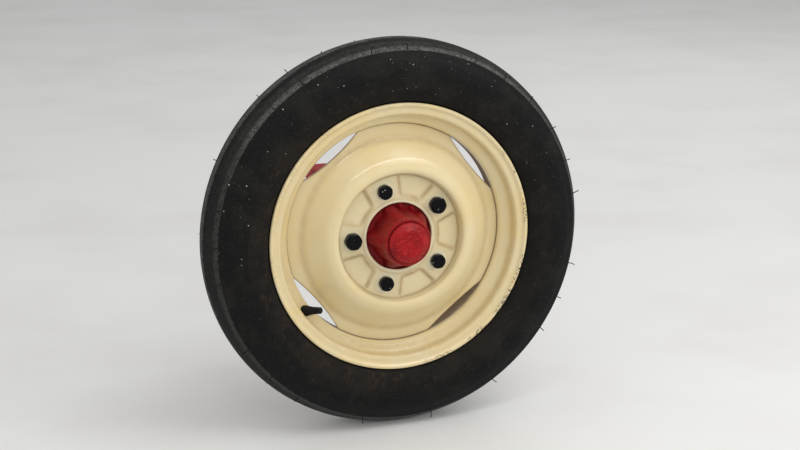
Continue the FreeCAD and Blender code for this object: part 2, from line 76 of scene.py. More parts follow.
def linear(code):
    """An sRGB hex colour as linear red, green and blue."""
    parts = [int(code[i:i + 2], 16) / 255 for i in (1, 3, 5)]
    return tuple(c / 12.92 if c <= 0.04045 else ((c + 0.055) / 1.055) ** 2.4 for c in parts)


def length(name, description, default):
    """A length in the sidebar, shown in Blender's units; default is in metres."""
    return FloatProperty(name=name, description=description, default=default,
                         min=0.0, unit="LENGTH", subtype="DISTANCE", precision=4)


def colour(name, description, code):
    return FloatVectorProperty(name=name, description=description, default=linear(code),
                               min=0.0, max=1.0, size=3, subtype="COLOR")


class TyreSizes(bpy.types.PropertyGroup):
    """Sizes of the ribbed steering tyre."""
    tread_r: length("Tread radius", "Radius over the middle rib", TYRE_BOX[1].x)
    half_w: length("Half width", "Half of the section's width", (TYRE_BOX[1].y - TYRE_BOX[0].y) / 2)
    rib_half: length("Half rib", "Half the middle rib's width", 0.0075)
    groove_w: length("Groove width", "Width of the groove beside the middle rib", 0.008)
    groove_deep: length("Groove depth", "Depth of that groove", 0.010)
    rib_step: length("Rib step", "How much lower the outer ribs begin", 0.0014)
    rib_fall: length("Rib fall", "How much lower the outer ribs end", 0.0095)
    rib_out: length("Outer rib edge", "Distance of the outer rib's edge from the middle", 0.032)
    shoulder_in: length("Shoulder drop", "How far the shoulder line lies under the tread", 0.0156)
    shoulder_y: length("Shoulder line", "Distance of the shoulder line from the middle", 0.043)
    wide_r: length("Widest radius", "Radius at which the wall is widest", 0.2628)
    bead_r: length("Bead radius", "Radius of the bead seat", 0.2031)


class WhiskerSizes(bpy.types.PropertyGroup):
    """Rubber whiskers that the mould's vents leave along the shoulder lines."""
    count: IntProperty(name="Count", description="Whiskers on each shoulder", default=32, min=1)
    long: length("Length", "Length of the longest whisker", 0.013)
    thick: length("Thickness", "Thickness at the root", 0.0015)
    missing: FloatProperty(name="Missing", description="Share that has broken off", default=0.22,
                           min=0.0, max=1.0, subtype="FACTOR")
    seed: IntProperty(name="Seed", description="Another set of lengths and leanings", default=4)


class RimSizes(bpy.types.PropertyGroup):
    """Sizes of the drop-centre rim and of the pressed disc in it."""
    flange_r: length("Flange radius", "Radius over the rim's flange", RIM_BOX[1].x)
    lip_y: length("Lip place", "Distance of the lip's edge from the middle",
                  (RIM_BOX[1].y - RIM_BOX[0].y) / 2)
    lip_w: length("Lip width", "Width of the lip outside the flange", 0.008)
    lip_drop: length("Lip drop", "How far the lip's edge curls in", 0.0045)
    bead_r: length("Bead seat radius", "Radius of the seat, tyre side", 0.2028)
    seat_w: length("Seat width", "Width of the bead seat", 0.017)
    well_deep: length("Well depth", "Depth of the well under the seat", 0.017)
    well_half: length("Outer well", "How far the well reaches outboard", 0.013)
    well_in: length("Inner well", "How far the well reaches inboard", 0.029)
    rim_sheet: length("Rim sheet", "Thickness of the rim", 0.0035)
    disc_sheet: length("Disc sheet", "Thickness of the disc", 0.005)
    hole_r: length("Centre hole", "Radius of the disc's middle hole", 0.0555)
    pad_deep: length("Pad depth", "Depth of the five recessed pads", 0.0035)


class HubSizes(bpy.types.PropertyGroup):
    """Sizes of the hub, its bolts and the valve."""
    bolt_circle: length("Bolt circle", "Radius of the circle of wheel bolts", 0.080)
    bolt_count: IntProperty(name="Bolts", description="Number of wheel bolts", default=5, min=3)
    bolt_flats: length("Bolt head", "Width of a bolt head across its flats", 0.024)
    bolt_head: length("Head height", "Height of a bolt head", 0.012)
    web_w: length("Web width", "Width of the ribs on the hub's barrel", 0.011)
    valve_lean: FloatProperty(name="Valve lean", description="Lean of the valve towards the hub",
                              default=math.radians(38), subtype="ANGLE")


class Finishes(bpy.types.PropertyGroup):
    """Colours of the materials."""
    rubber: colour("Tyre rubber", "Carbon-black rubber", "#0F0F0E")
    worn_rubber: colour("Worn rubber", "Scuffed grey rubber", "#62615E")
    cream: colour("Cream enamel", "Paint on rim and disc", "#DAC99E")
    red: colour("Red enamel", "Paint on hub and axle", "#9A1418")
    black: colour("Black enamel", "Paint on the bolts", "#08080A")
    dust: colour("Road dust", "Dry brown dust", "#7A6549")
    floor: colour("Floor", "Pale floor", "#E9E8E5")


PROPERTY_GROUPS = {
    "tractor_tyre": TyreSizes,
    "tractor_whiskers": WhiskerSizes,
    "tractor_rim": RimSizes,
    "tractor_hub": HubSizes,
    "tractor_finishes": Finishes,
}


def sizes(group):
    """A property group's lengths in mm, and its other values as they are."""
    values = getattr(bpy.context.scene, group)
    found = {}
    for prop in values.bl_rna.properties:
        if prop.identifier in ("name", "rna_type"):
            continue
        value = getattr(values, prop.identifier)
        found[prop.identifier] = value * 1000 if getattr(prop, "unit", "") == "LENGTH" else value
    return SimpleNamespace(**found)


# Outlines in the half plane: corners are (radius, y, bend radius)

def rounded(corners, closed, pitch=PITCH):
    """The path through the corners, each turned at its bend radius, with no step over the pitch."""
    count = len(corners)
    path = []
    for i, (r, y, bend) in enumerate(corners):
        here = Vector((r, y))
        if not closed and i in (0, count - 1):
            path.append(here)
            continue
        back = Vector(corners[i - 1][:2]) - here
        ahead = Vector(corners[(i + 1) % count][:2]) - here
        half = back.angle(ahead) / 2
        if bend < 0.05 or half > math.pi / 2 - 0.01:
            path.append(here)
            continue
        run = min(bend / math.tan(half), back.length * 0.49, ahead.length * 0.49)
        bend = run * math.tan(half)
        middle = here + (back.normalized() + ahead.normalized()).normalized() * bend / math.sin(half)
        start = here + back.normalized() * run - middle
        end = here + ahead.normalized() * run - middle
        sweep = start.angle_signed(end)
        steps = max(2, math.ceil(abs(sweep) / math.radians(11)))
        for k in range(steps + 1):
            spoke = start.copy()
            spoke.rotate(Matrix.Rotation(-sweep * k / steps, 2))
            path.append(middle + spoke)
    dense = []
    last = len(path) if closed else len(path) - 1
    for i in range(last):
        a, b = path[i], path[(i + 1) % len(path)]
        steps = max(1, math.ceil((b - a).length / pitch))
        dense += [a.lerp(b, k / steps) for k in range(steps)]
    if not closed:
        dense.append(path[-1])
    return np.array([tuple(p) for p in dense])


def beside(corners, sheet):
    """The corners of a path a sheet's thickness to the side, each bend fitted to its side."""
    found = []
    for i, (r, y, bend) in enumerate(corners):
        here = Vector((r, y))
        ways = []
        for a, b in ((i - 1, i), (i, i + 1)):
            if a >= 0 and b < len(corners):
                ways.append((Vector(corners[b][:2]) - Vector(corners[a][:2])).normalized())
        middle = (ways[0] + ways[-1]).normalized()
        shift = sheet / middle.dot(ways[0])
        turn = ways[0].x * ways[-1].y - ways[0].y * ways[-1].x
        other = max(0.5, bend - math.copysign(sheet, turn * sheet)) if bend else 0
        found.append((here.x - middle.y * shift, here.y + middle.x * shift, other))
    return found


def sheet_outline(corners, sheet, first, last, pitch=PITCH):
    """The closed outline of a bent sheet whose first and last edges are rounded."""
    other = beside(corners, sheet)
    ends = (corners[0], other[0])
    whole = [c[:2] + (c[2] or (first if c in ends else last),) for c in corners + other[::-1]]
    return rounded(whole, True, pitch)


def smooth(low, high, x):
    """0 below low, 1 above high, and an even rise between."""
    t = np.clip((x - low) / (high - low), 0, 1)
    return t * t * (3 - 2 * t)


def bend_curve(a, b, c, d, count):
    """Points on the curve from a to d that leaves towards b and arrives from c."""
    t = np.linspace(0, 1, count)[:, None]
    a, b, c, d = (np.array(p, float) for p in (a, b, c, d))
    return (1 - t) ** 3 * a + 3 * t * (1 - t) ** 2 * b + 3 * t * t * (1 - t) * c + t ** 3 * d


# Meshes

def mesh_object(name, points, faces, finish, marks=None, crease=32):
    """A closed piece from points in metres in the row frame, with its normals outwards."""
    mesh = bpy.data.meshes.new(name)
    mesh.from_pydata(points.tolist(), [], faces)
    for mark, values in (marks or {}).items():
        layer = mesh.attributes.new(mark, "FLOAT", "POINT")
        layer.data.foreach_set("value", np.asarray(values, np.float32).ravel())
    shape = bmesh.new()
    shape.from_mesh(mesh)
    bmesh.ops.remove_doubles(shape, verts=shape.verts, dist=1e-6)
    bmesh.ops.recalc_face_normals(shape, faces=shape.faces)
    shape.to_mesh(mesh)
    shape.free()
    mesh.shade_smooth()
    mesh.set_sharp_from_angle(angle=math.radians(crease))
    mesh.materials.append(material(finish))
    obj = bpy.data.objects.new(name, mesh)
    bpy.context.scene.collection.objects.link(obj)
    return obj


def turned(path, closed, shape=None, around=AROUND):
    """Points and faces of a path turned about Y; shape(r, y, angle) may move the points."""
    angles = np.arange(around) * 2 * math.pi / around
    r, t = np.meshgrid(path[:, 0], angles, indexing="ij")
    y = np.repeat(path[:, 1][:, None], around, axis=1)
    if shape:
        r, y = shape(r, y, t)
    points = np.stack([r * np.cos(t), y, r * np.sin(t)], axis=-1).reshape(-1, 3)
    rows = len(path)
    i = np.arange(rows if closed else rows - 1)[:, None]
    j = np.arange(around)[None, :]
    k, n = (i + 1) % rows, (j + 1) % around
    faces = np.stack([i * around + j, i * around + n, k * around + n, k * around + j], axis=-1)
    return points, faces.reshape(-1, 4).tolist(), r, y, t


def to_row(points):
    """Points in mm about the wheel's centre as metres in the row frame."""
    return (points + WHEEL) / 1000


def standing(points, foot, along):
    """Points drawn about Y, stood on a foot so that their +Y points along."""
    along = Vector(along).normalized()
    turn = np.array(Vector((0, 1, 0)).rotation_difference(along).to_matrix())
    return points @ turn.T + np.array(foot)


def on_wheel(angle, radius, y):
    """A point at an angle in degrees on the wheel."""
    a = math.radians(angle)
    return np.array((radius * math.cos(a), y, radius * math.sin(a)))


def dress(obj, body, slot, *nodes):
    """Hangs a finished piece on the body it rides on and hides the parts it stands for; the slot is not used."""
    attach(obj, body)
    if nodes:
        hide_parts(*nodes)
    return obj


def settled(obj, name):
    """The result of an object's modifiers as a plain mesh; the object that carried them goes."""
    view = bpy.context.evaluated_depsgraph_get()
    mesh = bpy.data.meshes.new_from_object(obj.evaluated_get(view))
    plain = bpy.data.objects.new(name, mesh)
    bpy.context.scene.collection.objects.link(plain)
    bpy.data.objects.remove(obj)
    return plain


# Nodes

def add(tree, kind, inputs=None, **settings):
    """Adds one node, with its settings and each input's value or link."""
    node = tree.nodes.new(kind)
    for name, value in settings.items():
        setattr(node, name, value)
    for key, value in (inputs or {}).items():
        if isinstance(value, bpy.types.NodeSocket):
            tree.links.new(value, node.inputs[key])
        else:
            node.inputs[key].default_value = value
    return node


def start_material(name):
    """A new material, its tree and the mm coordinates about the wheel's centre."""
    mat = bpy.data.materials.new(name)
    mat.use_nodes = True
    tree = mat.node_tree
    tree.nodes.clear()
    place = add(tree, "ShaderNodeTexCoord").outputs["Object"]
    scaled = add(tree, "ShaderNodeMapping", {"Vector": place, "Location": tuple(-WHEEL),
                                             "Scale": (1000, 1000, 1000)})
    return mat, tree, scaled.outputs[0]


def noise(tree, place, grain, detail=3.0, rough=0.55, stretch=(1, 1, 1)):
    """Soft noise whose features are about grain mm wide."""
    moved = add(tree, "ShaderNodeMapping", {"Vector": place, "Scale": stretch}).outputs[0]
    return add(tree, "ShaderNodeTexNoise", {"Vector": moved, "Scale": 1 / grain, "Detail": detail,
                                            "Roughness": rough}).outputs[0]


def ramp(tree, value, low, high, bottom=0.0, top=1.0):
    """Value between low and high mapped smoothly to bottom and top."""
    return add(tree, "ShaderNodeMapRange", {0: value, 1: low, 2: high, 3: bottom, 4: top},
               interpolation_type="SMOOTHSTEP").outputs[0]


def both(tree, a, b, how="MULTIPLY"):
    return add(tree, "ShaderNodeMath", {0: a, 1: b}, operation=how).outputs[0]


def mark(tree, name):
    """A mask that the piece's mesh carries, 0 where it has none."""
    return add(tree, "ShaderNodeAttribute", attribute_name=name).outputs["Fac"]


def over(tree, below, above, share):
    """One colour laid over another by a share."""
    def opaque(c):
        return tuple(c) + (1,) if not isinstance(c, bpy.types.NodeSocket) else c
    return add(tree, "ShaderNodeMix", {0: share, 6: opaque(below), 7: opaque(above)},
               data_type="RGBA").outputs[2]


def raised(tree, height, distance_mm, strength=1.0, normal=None):
    """A bump whose height of 1 stands distance_mm off the surface."""
    inputs = {"Height": height, "Distance": distance_mm / 1000, "Strength": strength}
    if normal:
        inputs["Normal"] = normal
    return add(tree, "ShaderNodeBump", inputs).outputs[0]


def finish_material(tree, **inputs):
    """The surface shader and the output."""
    named = {key.replace("_", " "): value for key, value in inputs.items()}
    for key, value in named.items():
        if isinstance(value, tuple) and len(value) == 3:
            named[key] = value + (1,)
    surface = add(tree, "ShaderNodeBsdfPrincipled", named)
    add(tree, "ShaderNodeOutputMaterial", {"Surface": surface.outputs[0]})


# Materials

def tyre_rubber():
    """Moulded rubber full of carbon black: a deep, slightly brown black with a satin sheen.

    The ribs and shoulders are scuffed grey, and the shoulder band carries painted light from above;
    brown dust lies near the rim, and a few flecks of paint are on the upper wall.
    """
    look = sizes("tractor_finishes")
    mat, tree, place = start_material("moulded carbon-black rubber")
    cloud = noise(tree, place, 38, 4)
    fine = noise(tree, place, 3.2, 4, 0.65)
    base = over(tree, tuple(look.rubber), linear("#1B1A18"), ramp(tree, cloud, 0.42, 0.68))
    base = over(tree, base, linear("#3A3936"), ramp(tree, fine, 0.55, 0.78, 0, 0.8))
    # Scuffs are speckles 2 to 3 mm wide in larger smears
    mottle = ramp(tree, noise(tree, place, 2.6, 3, 0.6), 0.32, 0.68, 0.2, 1.1)
    mottle = both(tree, mottle, ramp(tree, noise(tree, place, 11, 3, 0.6), 0.35, 0.65, 0.65, 1.15))
    # Grey scuffs, and in the same mark painted light on the upper part of the shoulder band
    worn_and_lit = both(tree, mark(tree, "worn_and_lit"), mottle)
    base = over(tree, base, tuple(look.worn_rubber), worn_and_lit)
    # A thin brown film near the rim, and patches of dried mud on it
    patches = ramp(tree, noise(tree, place, 15, 5, 0.7), 0.52, 0.74)
    dusty = both(tree, mark(tree, "dusty"), ramp(tree, cloud, 0.3, 0.7, 0.15, 0.7))
    base = over(tree, base, linear("#231E19"), dusty)
    base = over(tree, base, linear("#4A382A"), both(tree, mark(tree, "dusty"), both(tree, patches, 0.4)))
    # Flecks of paint 1 to 2 mm across, large ones in cells of 12 mm and small ones in cells of 7 mm
    flat = add(tree, "ShaderNodeMapping", {"Vector": place, "Scale": (1, 0, 1)}).outputs[0]
    for cell, lowest, code in ((12, 0.50, "#C2C0B8"), (7, 0.72, "#8E8B83")):
        cells = add(tree, "ShaderNodeTexVoronoi", {"Vector": flat, "Scale": 1 / cell})
        fleck = ramp(tree, cells.outputs["Distance"], 0.04, 0.09, 1, 0)
        chosen = add(tree, "ShaderNodeSeparateColor", {0: cells.outputs["Color"]}).outputs[0]
        fleck = both(tree, fleck, ramp(tree, chosen, lowest, lowest + 0.02))
        fleck = both(tree, fleck, mark(tree, "flecked"))
        base = over(tree, base, linear(code), fleck)
    rough = ramp(tree, both(tree, worn_and_lit, both(tree, dusty, 0.5, "ADD"), "ADD"), 0, 1, 0.47, 0.75)
    rough = both(tree, rough, ramp(tree, cloud, 0.3, 0.7, -0.05, 0.05), "ADD")
    grain = raised(tree, fine, 0.12, 0.6)
    grain = raised(tree, mottle, 0.25, 0.5, grain)
    finish_material(tree, Base_Color=base, Roughness=rough, Normal=grain, IOR=1.52,
                    Specular_IOR_Level=0.15)
    return mat


def valve_rubber():
    """Rubber of the snap-in valve: plain black, duller than the tyre, with a little dust."""
    mat, tree, place = start_material("valve rubber")
    dusty = ramp(tree, noise(tree, place, 4, 4), 0.45, 0.8)
    base = over(tree, linear("#0C0C0B"), linear("#3A362F"), both(tree, dusty, 0.2))
    grain = raised(tree, noise(tree, place, 1.2, 3), 0.05)
    finish_material(tree, Base_Color=base, Roughness=0.5, Normal=grain, IOR=1.52,
                    Specular_IOR_Level=0.2)
    return mat


def cream_enamel():
    """Sprayed cream enamel on pressed steel: warm and glossy with a faint orange peel.

    Painted shade and brown dirt lie in its creases, painted highlights ring the bolts and the middle
    hole, and a few chips on the lip show dark steel. The side that faces the axle is dull with dust.
    """
    look = sizes("tractor_finishes")
    mat, tree, place = start_material("cream enamel on pressed steel")
    cloud = noise(tree, place, 70, 3)
    base = over(tree, tuple(look.cream), linear("#DAC48E"), ramp(tree, cloud, 0.35, 0.75))
    base = over(tree, base, linear("#D9CBA2"), both(tree, mark(tree, "pale"), 0.7))
    # Painted shade: a brown tone in the soft hollows and creases, and dirt with painted shade in the tight ones
    painted_shade = both(tree, mark(tree, "shade"), ramp(tree, noise(tree, place, 13, 4, 0.6), 0.3, 0.65, 0.58, 0.9))
    base = over(tree, base, linear("#9D7F52"), painted_shade)
    dirt_and_shade = both(tree, mark(tree, "dirt_and_shade"), ramp(tree, noise(tree, place, 9, 3, 0.6), 0.2, 0.5, 0.4))
    base = over(tree, base, linear("#5E4020"), both(tree, dirt_and_shade, 0.88))
    # Painted highlights: light rings round the bolts' seats and on the lip of the middle hole
    base = over(tree, base, linear("#E6DDBB"), both(tree, mark(tree, "painted_highlight"), 0.75))
    stain = ramp(tree, noise(tree, place, 30, 3, 0.6, (1, 1, 0.45)), 0.60, 0.78)
    base = over(tree, base, linear("#C08F52"), both(tree, stain, 0.10))
    dusty = both(tree, mark(tree, "dusty"), ramp(tree, noise(tree, place, 22, 5, 0.6), 0.2, 0.7, 0.7))
    base = over(tree, base, tuple(look.dust), both(tree, dusty, 0.68))
    # Chips 1 to 3 mm wide, only where the mesh marks an edge that takes knocks
    chip = ramp(tree, noise(tree, place, 2.2, 3, 0.6), 0.53, 0.56)
    chip = both(tree, chip, ramp(tree, noise(tree, place, 30, 2), 0.48, 0.54))
    chip = both(tree, chip, mark(tree, "knocked"))
    base = over(tree, base, linear("#2B2420"), chip)
    # Pin-head specks of dirt, one in several cells of 14 mm
    cells = add(tree, "ShaderNodeTexVoronoi", {"Vector": place, "Scale": 1 / 14})
    chosen = add(tree, "ShaderNodeSeparateColor", {0: cells.outputs["Color"]}).outputs[0]
    speck = both(tree, ramp(tree, cells.outputs["Distance"], 0.03, 0.05, 1, 0),
                 ramp(tree, chosen, 0.88, 0.90))
    base = over(tree, base, linear("#4A3A2A"), both(tree, speck, 0.8))
    rough = ramp(tree, both(tree, dirt_and_shade, dusty, "ADD"), 0, 1, 0.27, 0.72)
    rough = both(tree, rough, both(tree, chip, 0.3), "ADD")
    peel = raised(tree, noise(tree, place, 4.5, 2), 0.10, 0.35)
    peel = raised(tree, noise(tree, place, 26, 2), 0.5, 0.35, peel)
    peel = raised(tree, both(tree, chip, -1.0), 0.15, 0.8, peel)
    # Dust takes the shine off
    coat = ramp(tree, dusty, 0.1, 0.6, 0.45, 0)
    finish_material(tree, Base_Color=base, Roughness=rough, Normal=peel, IOR=1.5,
                    Coat_Weight=coat, Coat_Roughness=0.07)
    return mat


def red_enamel():
    """Red enamel brushed thickly on cast iron: glossy, with brush ridges and a rough casting under.

    It carries painted shade in its hollows; lighter streaks lie on the cap, and on the barrel's tip
    as a painted highlight.
    """
    look = sizes("tractor_finishes")
    mat, tree, place = start_material("red enamel on cast iron")
    cloud = noise(tree, place, 24, 4)
    base = over(tree, tuple(look.red), linear("#7E0E14"), ramp(tree, cloud, 0.42, 0.7))
    # Painted shade: the red darkens down the hub's mouth and in the crease round the cap
    base = over(tree, base, linear("#4A0B0D"), both(tree, mark(tree, "dirt_and_shade"), 0.65))
    streaks = noise(tree, place, 4, 5, 0.65, (0.6, 1, 1.3))
    base = over(tree, base, linear("#C2362F"), both(tree, ramp(tree, streaks, 0.5, 0.75), mark(tree, "pale")))
    # The cap's paint is thicker and shinier than the casting's
    rough = ramp(tree, streaks, 0.3, 0.7, 0.44, 0.60)
    rough = both(tree, rough, both(tree, mark(tree, "pale"), -0.38), "ADD")
    rough = both(tree, rough, both(tree, mark(tree, "dusty"), 0.3), "ADD")
    base = over(tree, base, tuple(look.dust), both(tree, mark(tree, "dusty"), 0.4))
    casting = raised(tree, noise(tree, place, 5, 3), 0.5, 0.5)
    casting = raised(tree, streaks, 0.45, 0.6, casting)
    casting = raised(tree, noise(tree, place, 2.2, 3, 0.7), 0.22, 0.8, casting)
    finish_material(tree, Base_Color=base, Roughness=rough, Normal=casting, IOR=1.3)
    return mat


def black_steel():
    """Black enamel laid thickly on a steel bolt head: wet gloss with soft facets."""
    look = sizes("tractor_finishes")
    mat, tree, place = start_material("black enamel on steel")
    cloud = noise(tree, place, 5, 3)
    base = over(tree, tuple(look.black), linear("#16161A"), ramp(tree, cloud, 0.5, 0.8))
    # Tiny light specks under 1 mm wide are painted on as glints: painted highlights
    cells = add(tree, "ShaderNodeTexVoronoi", {"Vector": place, "Scale": 1 / 5})
    chosen = add(tree, "ShaderNodeSeparateColor", {0: cells.outputs["Color"]}).outputs[0]
    painted_glint = both(tree, ramp(tree, cells.outputs["Distance"], 0.10, 0.17, 1, 0),
                ramp(tree, chosen, 0.55, 0.57))
    base = over(tree, base, linear("#CFCECA"), painted_glint)
    lumps = raised(tree, noise(tree, place, 2.8, 3), 0.6, 0.9)
    finish_material(tree, Base_Color=base, Roughness=0.14, Normal=lumps, IOR=1.5,
                    Specular_IOR_Level=0.14)
    return mat


def zinc_steel():
    """Zinc-plated steel gone dull: grey metal with cloudy blotches."""
    mat, tree, place = start_material("dull zinc plate")
    cloud = noise(tree, place, 6, 4)
    base = over(tree, linear("#A3A199"), linear("#6F6C63"), ramp(tree, cloud, 0.4, 0.7))
    grain = raised(tree, noise(tree, place, 1.5, 3), 0.04)
    finish_material(tree, Base_Color=base, Metallic=0.9,
                    Roughness=ramp(tree, cloud, 0.3, 0.7, 0.38, 0.58), Normal=grain)
    return mat


def ground_steel():
    """Ground steel with a film of grease: bright metal with fine rings round the pin."""
    mat, tree, place = start_material("ground steel")
    rings = noise(tree, place, 0.9, 2, 0.5, (0.05, 0.05, 1))
    smear = ramp(tree, noise(tree, place, 9, 4), 0.4, 0.7)
    base = over(tree, linear("#B7B7B5"), linear("#6A5F4C"), both(tree, smear, 0.5))
    finish_material(tree, Base_Color=base, Metallic=1.0, Roughness=ramp(tree, rings, 0.2, 0.8, 0.22, 0.4),
                    Normal=raised(tree, rings, 0.02))
    return mat


def bearing_bronze():
    """Cast bearing bronze: brown-gold metal with darker patches."""
    mat, tree, place = start_material("bearing bronze")
    patch = noise(tree, place, 7, 4)
    base = over(tree, linear("#B5803F"), linear("#6E4A26"), ramp(tree, patch, 0.4, 0.75))
    finish_material(tree, Base_Color=base, Metallic=1.0,
                    Roughness=ramp(tree, patch, 0.3, 0.7, 0.3, 0.5),
                    Normal=raised(tree, noise(tree, place, 1.2, 2), 0.03))
    return mat


def painted_floor():
    """Matt pale floor paint with faint scuffs."""
    look = sizes("tractor_finishes")
    mat, tree, place = start_material("pale floor paint")
    cloud = noise(tree, place, 420, 4)
    base = over(tree, tuple(look.floor), linear("#E3E1DC"), ramp(tree, cloud, 0.4, 0.75))
    finish_material(tree, Base_Color=base, Roughness=0.5, Specular_IOR_Level=0.3,
                    Normal=raised(tree, noise(tree, place, 30, 3), 0.3, 0.3))
    return mat


MATERIALS = {
    "tyre_rubber": tyre_rubber, "valve_rubber": valve_rubber, "cream_enamel": cream_enamel,
    "red_enamel": red_enamel, "black_steel": black_steel, "zinc_steel": zinc_steel,
    "ground_steel": ground_steel, "bronze": bearing_bronze, "floor": painted_floor,
}
made = {}


def material(slot):
    """The material of a slot, made the first time it is asked for."""
    if slot not in made:
        made[slot] = MATERIALS[slot]()
    return made[slot]


# Tyre

def tyre_outline(size):
    """The tyre's closed outline: ribs and grooves, bellied walls, beads."""
    half = []
    groove_mid = size.rib_half + size.groove_w / 2
    low = size.tread_r - size.rib_step
    shoulder = (size.tread_r - size.shoulder_in, size.shoulder_y)
    tread = [
        (size.tread_r + 0.2, 0, 0),
        (size.tread_r, size.rib_half, 1.3),
        (size.tread_r - size.groove_deep + 1, groove_mid, 1.5),
        (low, size.rib_half + size.groove_w, 1.3),
        (low - 1.8, size.rib_half + size.groove_w + 6, 16),
        (size.tread_r - size.rib_fall, size.rib_out, 20),
        (shoulder[0], shoulder[1], 0.4),
        (shoulder[0] - 1.4, shoulder[1] + 0.7, 0),
    ]
    half = [tuple(p) for p in rounded(tread, False)]
    wide = (size.wide_r, size.half_w)
    upper = bend_curve(half[-1], (shoulder[0] - 10, shoulder[1] + 5), (284, size.half_w), wide, 200)
    lower = bend_curve(wide, (243, size.half_w), (226, 52), (222.2, 42.1), 200)
    wall = np.concatenate([upper, lower[1:]])
    # Ring lines of the mould stand half a millimetre off the wall
    stations = set(np.arange(223, shoulder[0] - 2, 2.4).round(2))
    for ring in (260.5, 291.0):
        stations |= set(np.arange(ring - 1.5, ring + 1.6, 0.5).round(2))
    stations = np.array(sorted(stations, reverse=True))
    wall_y = np.interp(stations, wall[::-1, 0], wall[::-1, 1])
    wall_y += 0.5 * np.exp(-((stations - 260.5) / 0.6) ** 2)
    wall_y -= 0.35 * smooth(290.3, 291.7, stations) * (1 - smooth(295, 301, stations))
    half += list(zip(stations, wall_y))
    heel = rounded([(222.2, 42.1, 0), (222.2, 37.8, 1), (size.bead_r, 37.8, 8.5),
                    (size.bead_r, 22, 0)], False)
    half += [tuple(p) for p in heel]
    other = [(r, -y) for r, y in half[::-1]]
    return np.array(other[:-1] + half)


def tyre_marks(r, y, t, size):
    """Where the tyre is scuffed, dusty or flecked with paint, and where painted light lies on its shoulder band.
    """
    side = np.abs(y)
    ribs = 0.8 * (1 - smooth(size.rib_half, size.rib_half + 0.8, side))
    slope = 0.24 * smooth(19, 25, side)
    band = smooth(size.rib_out, size.rib_out + 4, side)
    # The shoulder band is painted lighter towards the top and darker at the sides: painted light from above,
    # laid over the real wear.
    lit_from_above = 0.4 + 0.6 * smooth(0.4, 0.85, np.cos(t - math.radians(95)))
    tread = (side < size.shoulder_y + 0.1) & (r > size.wide_r)
    worn_and_lit = np.maximum(ribs, np.maximum(slope, band) * lit_from_above) * tread
    # The side towards the front has stayed cleaner
    cleaner = 1 - 0.5 * smooth(-0.2, 0.8, np.cos(t - math.radians(30)))
    dusty = (1 - smooth(248, 263, r)) * cleaner
    high = smooth(-0.2, 0.6, np.cos(t - math.radians(105)))
    flecked = smooth(225, 262, r) * (side > size.shoulder_y) * (0.1 + 0.9 * high) * (y < 0)
    return {"worn_and_lit": worn_and_lit, "dusty": dusty, "flecked": flecked}


class TRACTOR_OT_tyre(bpy.types.Operator):
    """Ribbed steering tyre with its mould lines, scuffed shoulders and dusty beads"""
    bl_idname = "tractor.tyre"
    bl_label = "Tyre"

    def execute(self, context):
        size = sizes("tractor_tyre")
        points, faces, r, y, t = turned(tyre_outline(size), True)
        tyre = mesh_object("tyre_dressed", to_row(points), faces, "tyre_rubber",
                           tyre_marks(r, y, t, size))
        dress(tyre, "wheel", "tyre_rubber", "tyre")
        return {"FINISHED"}


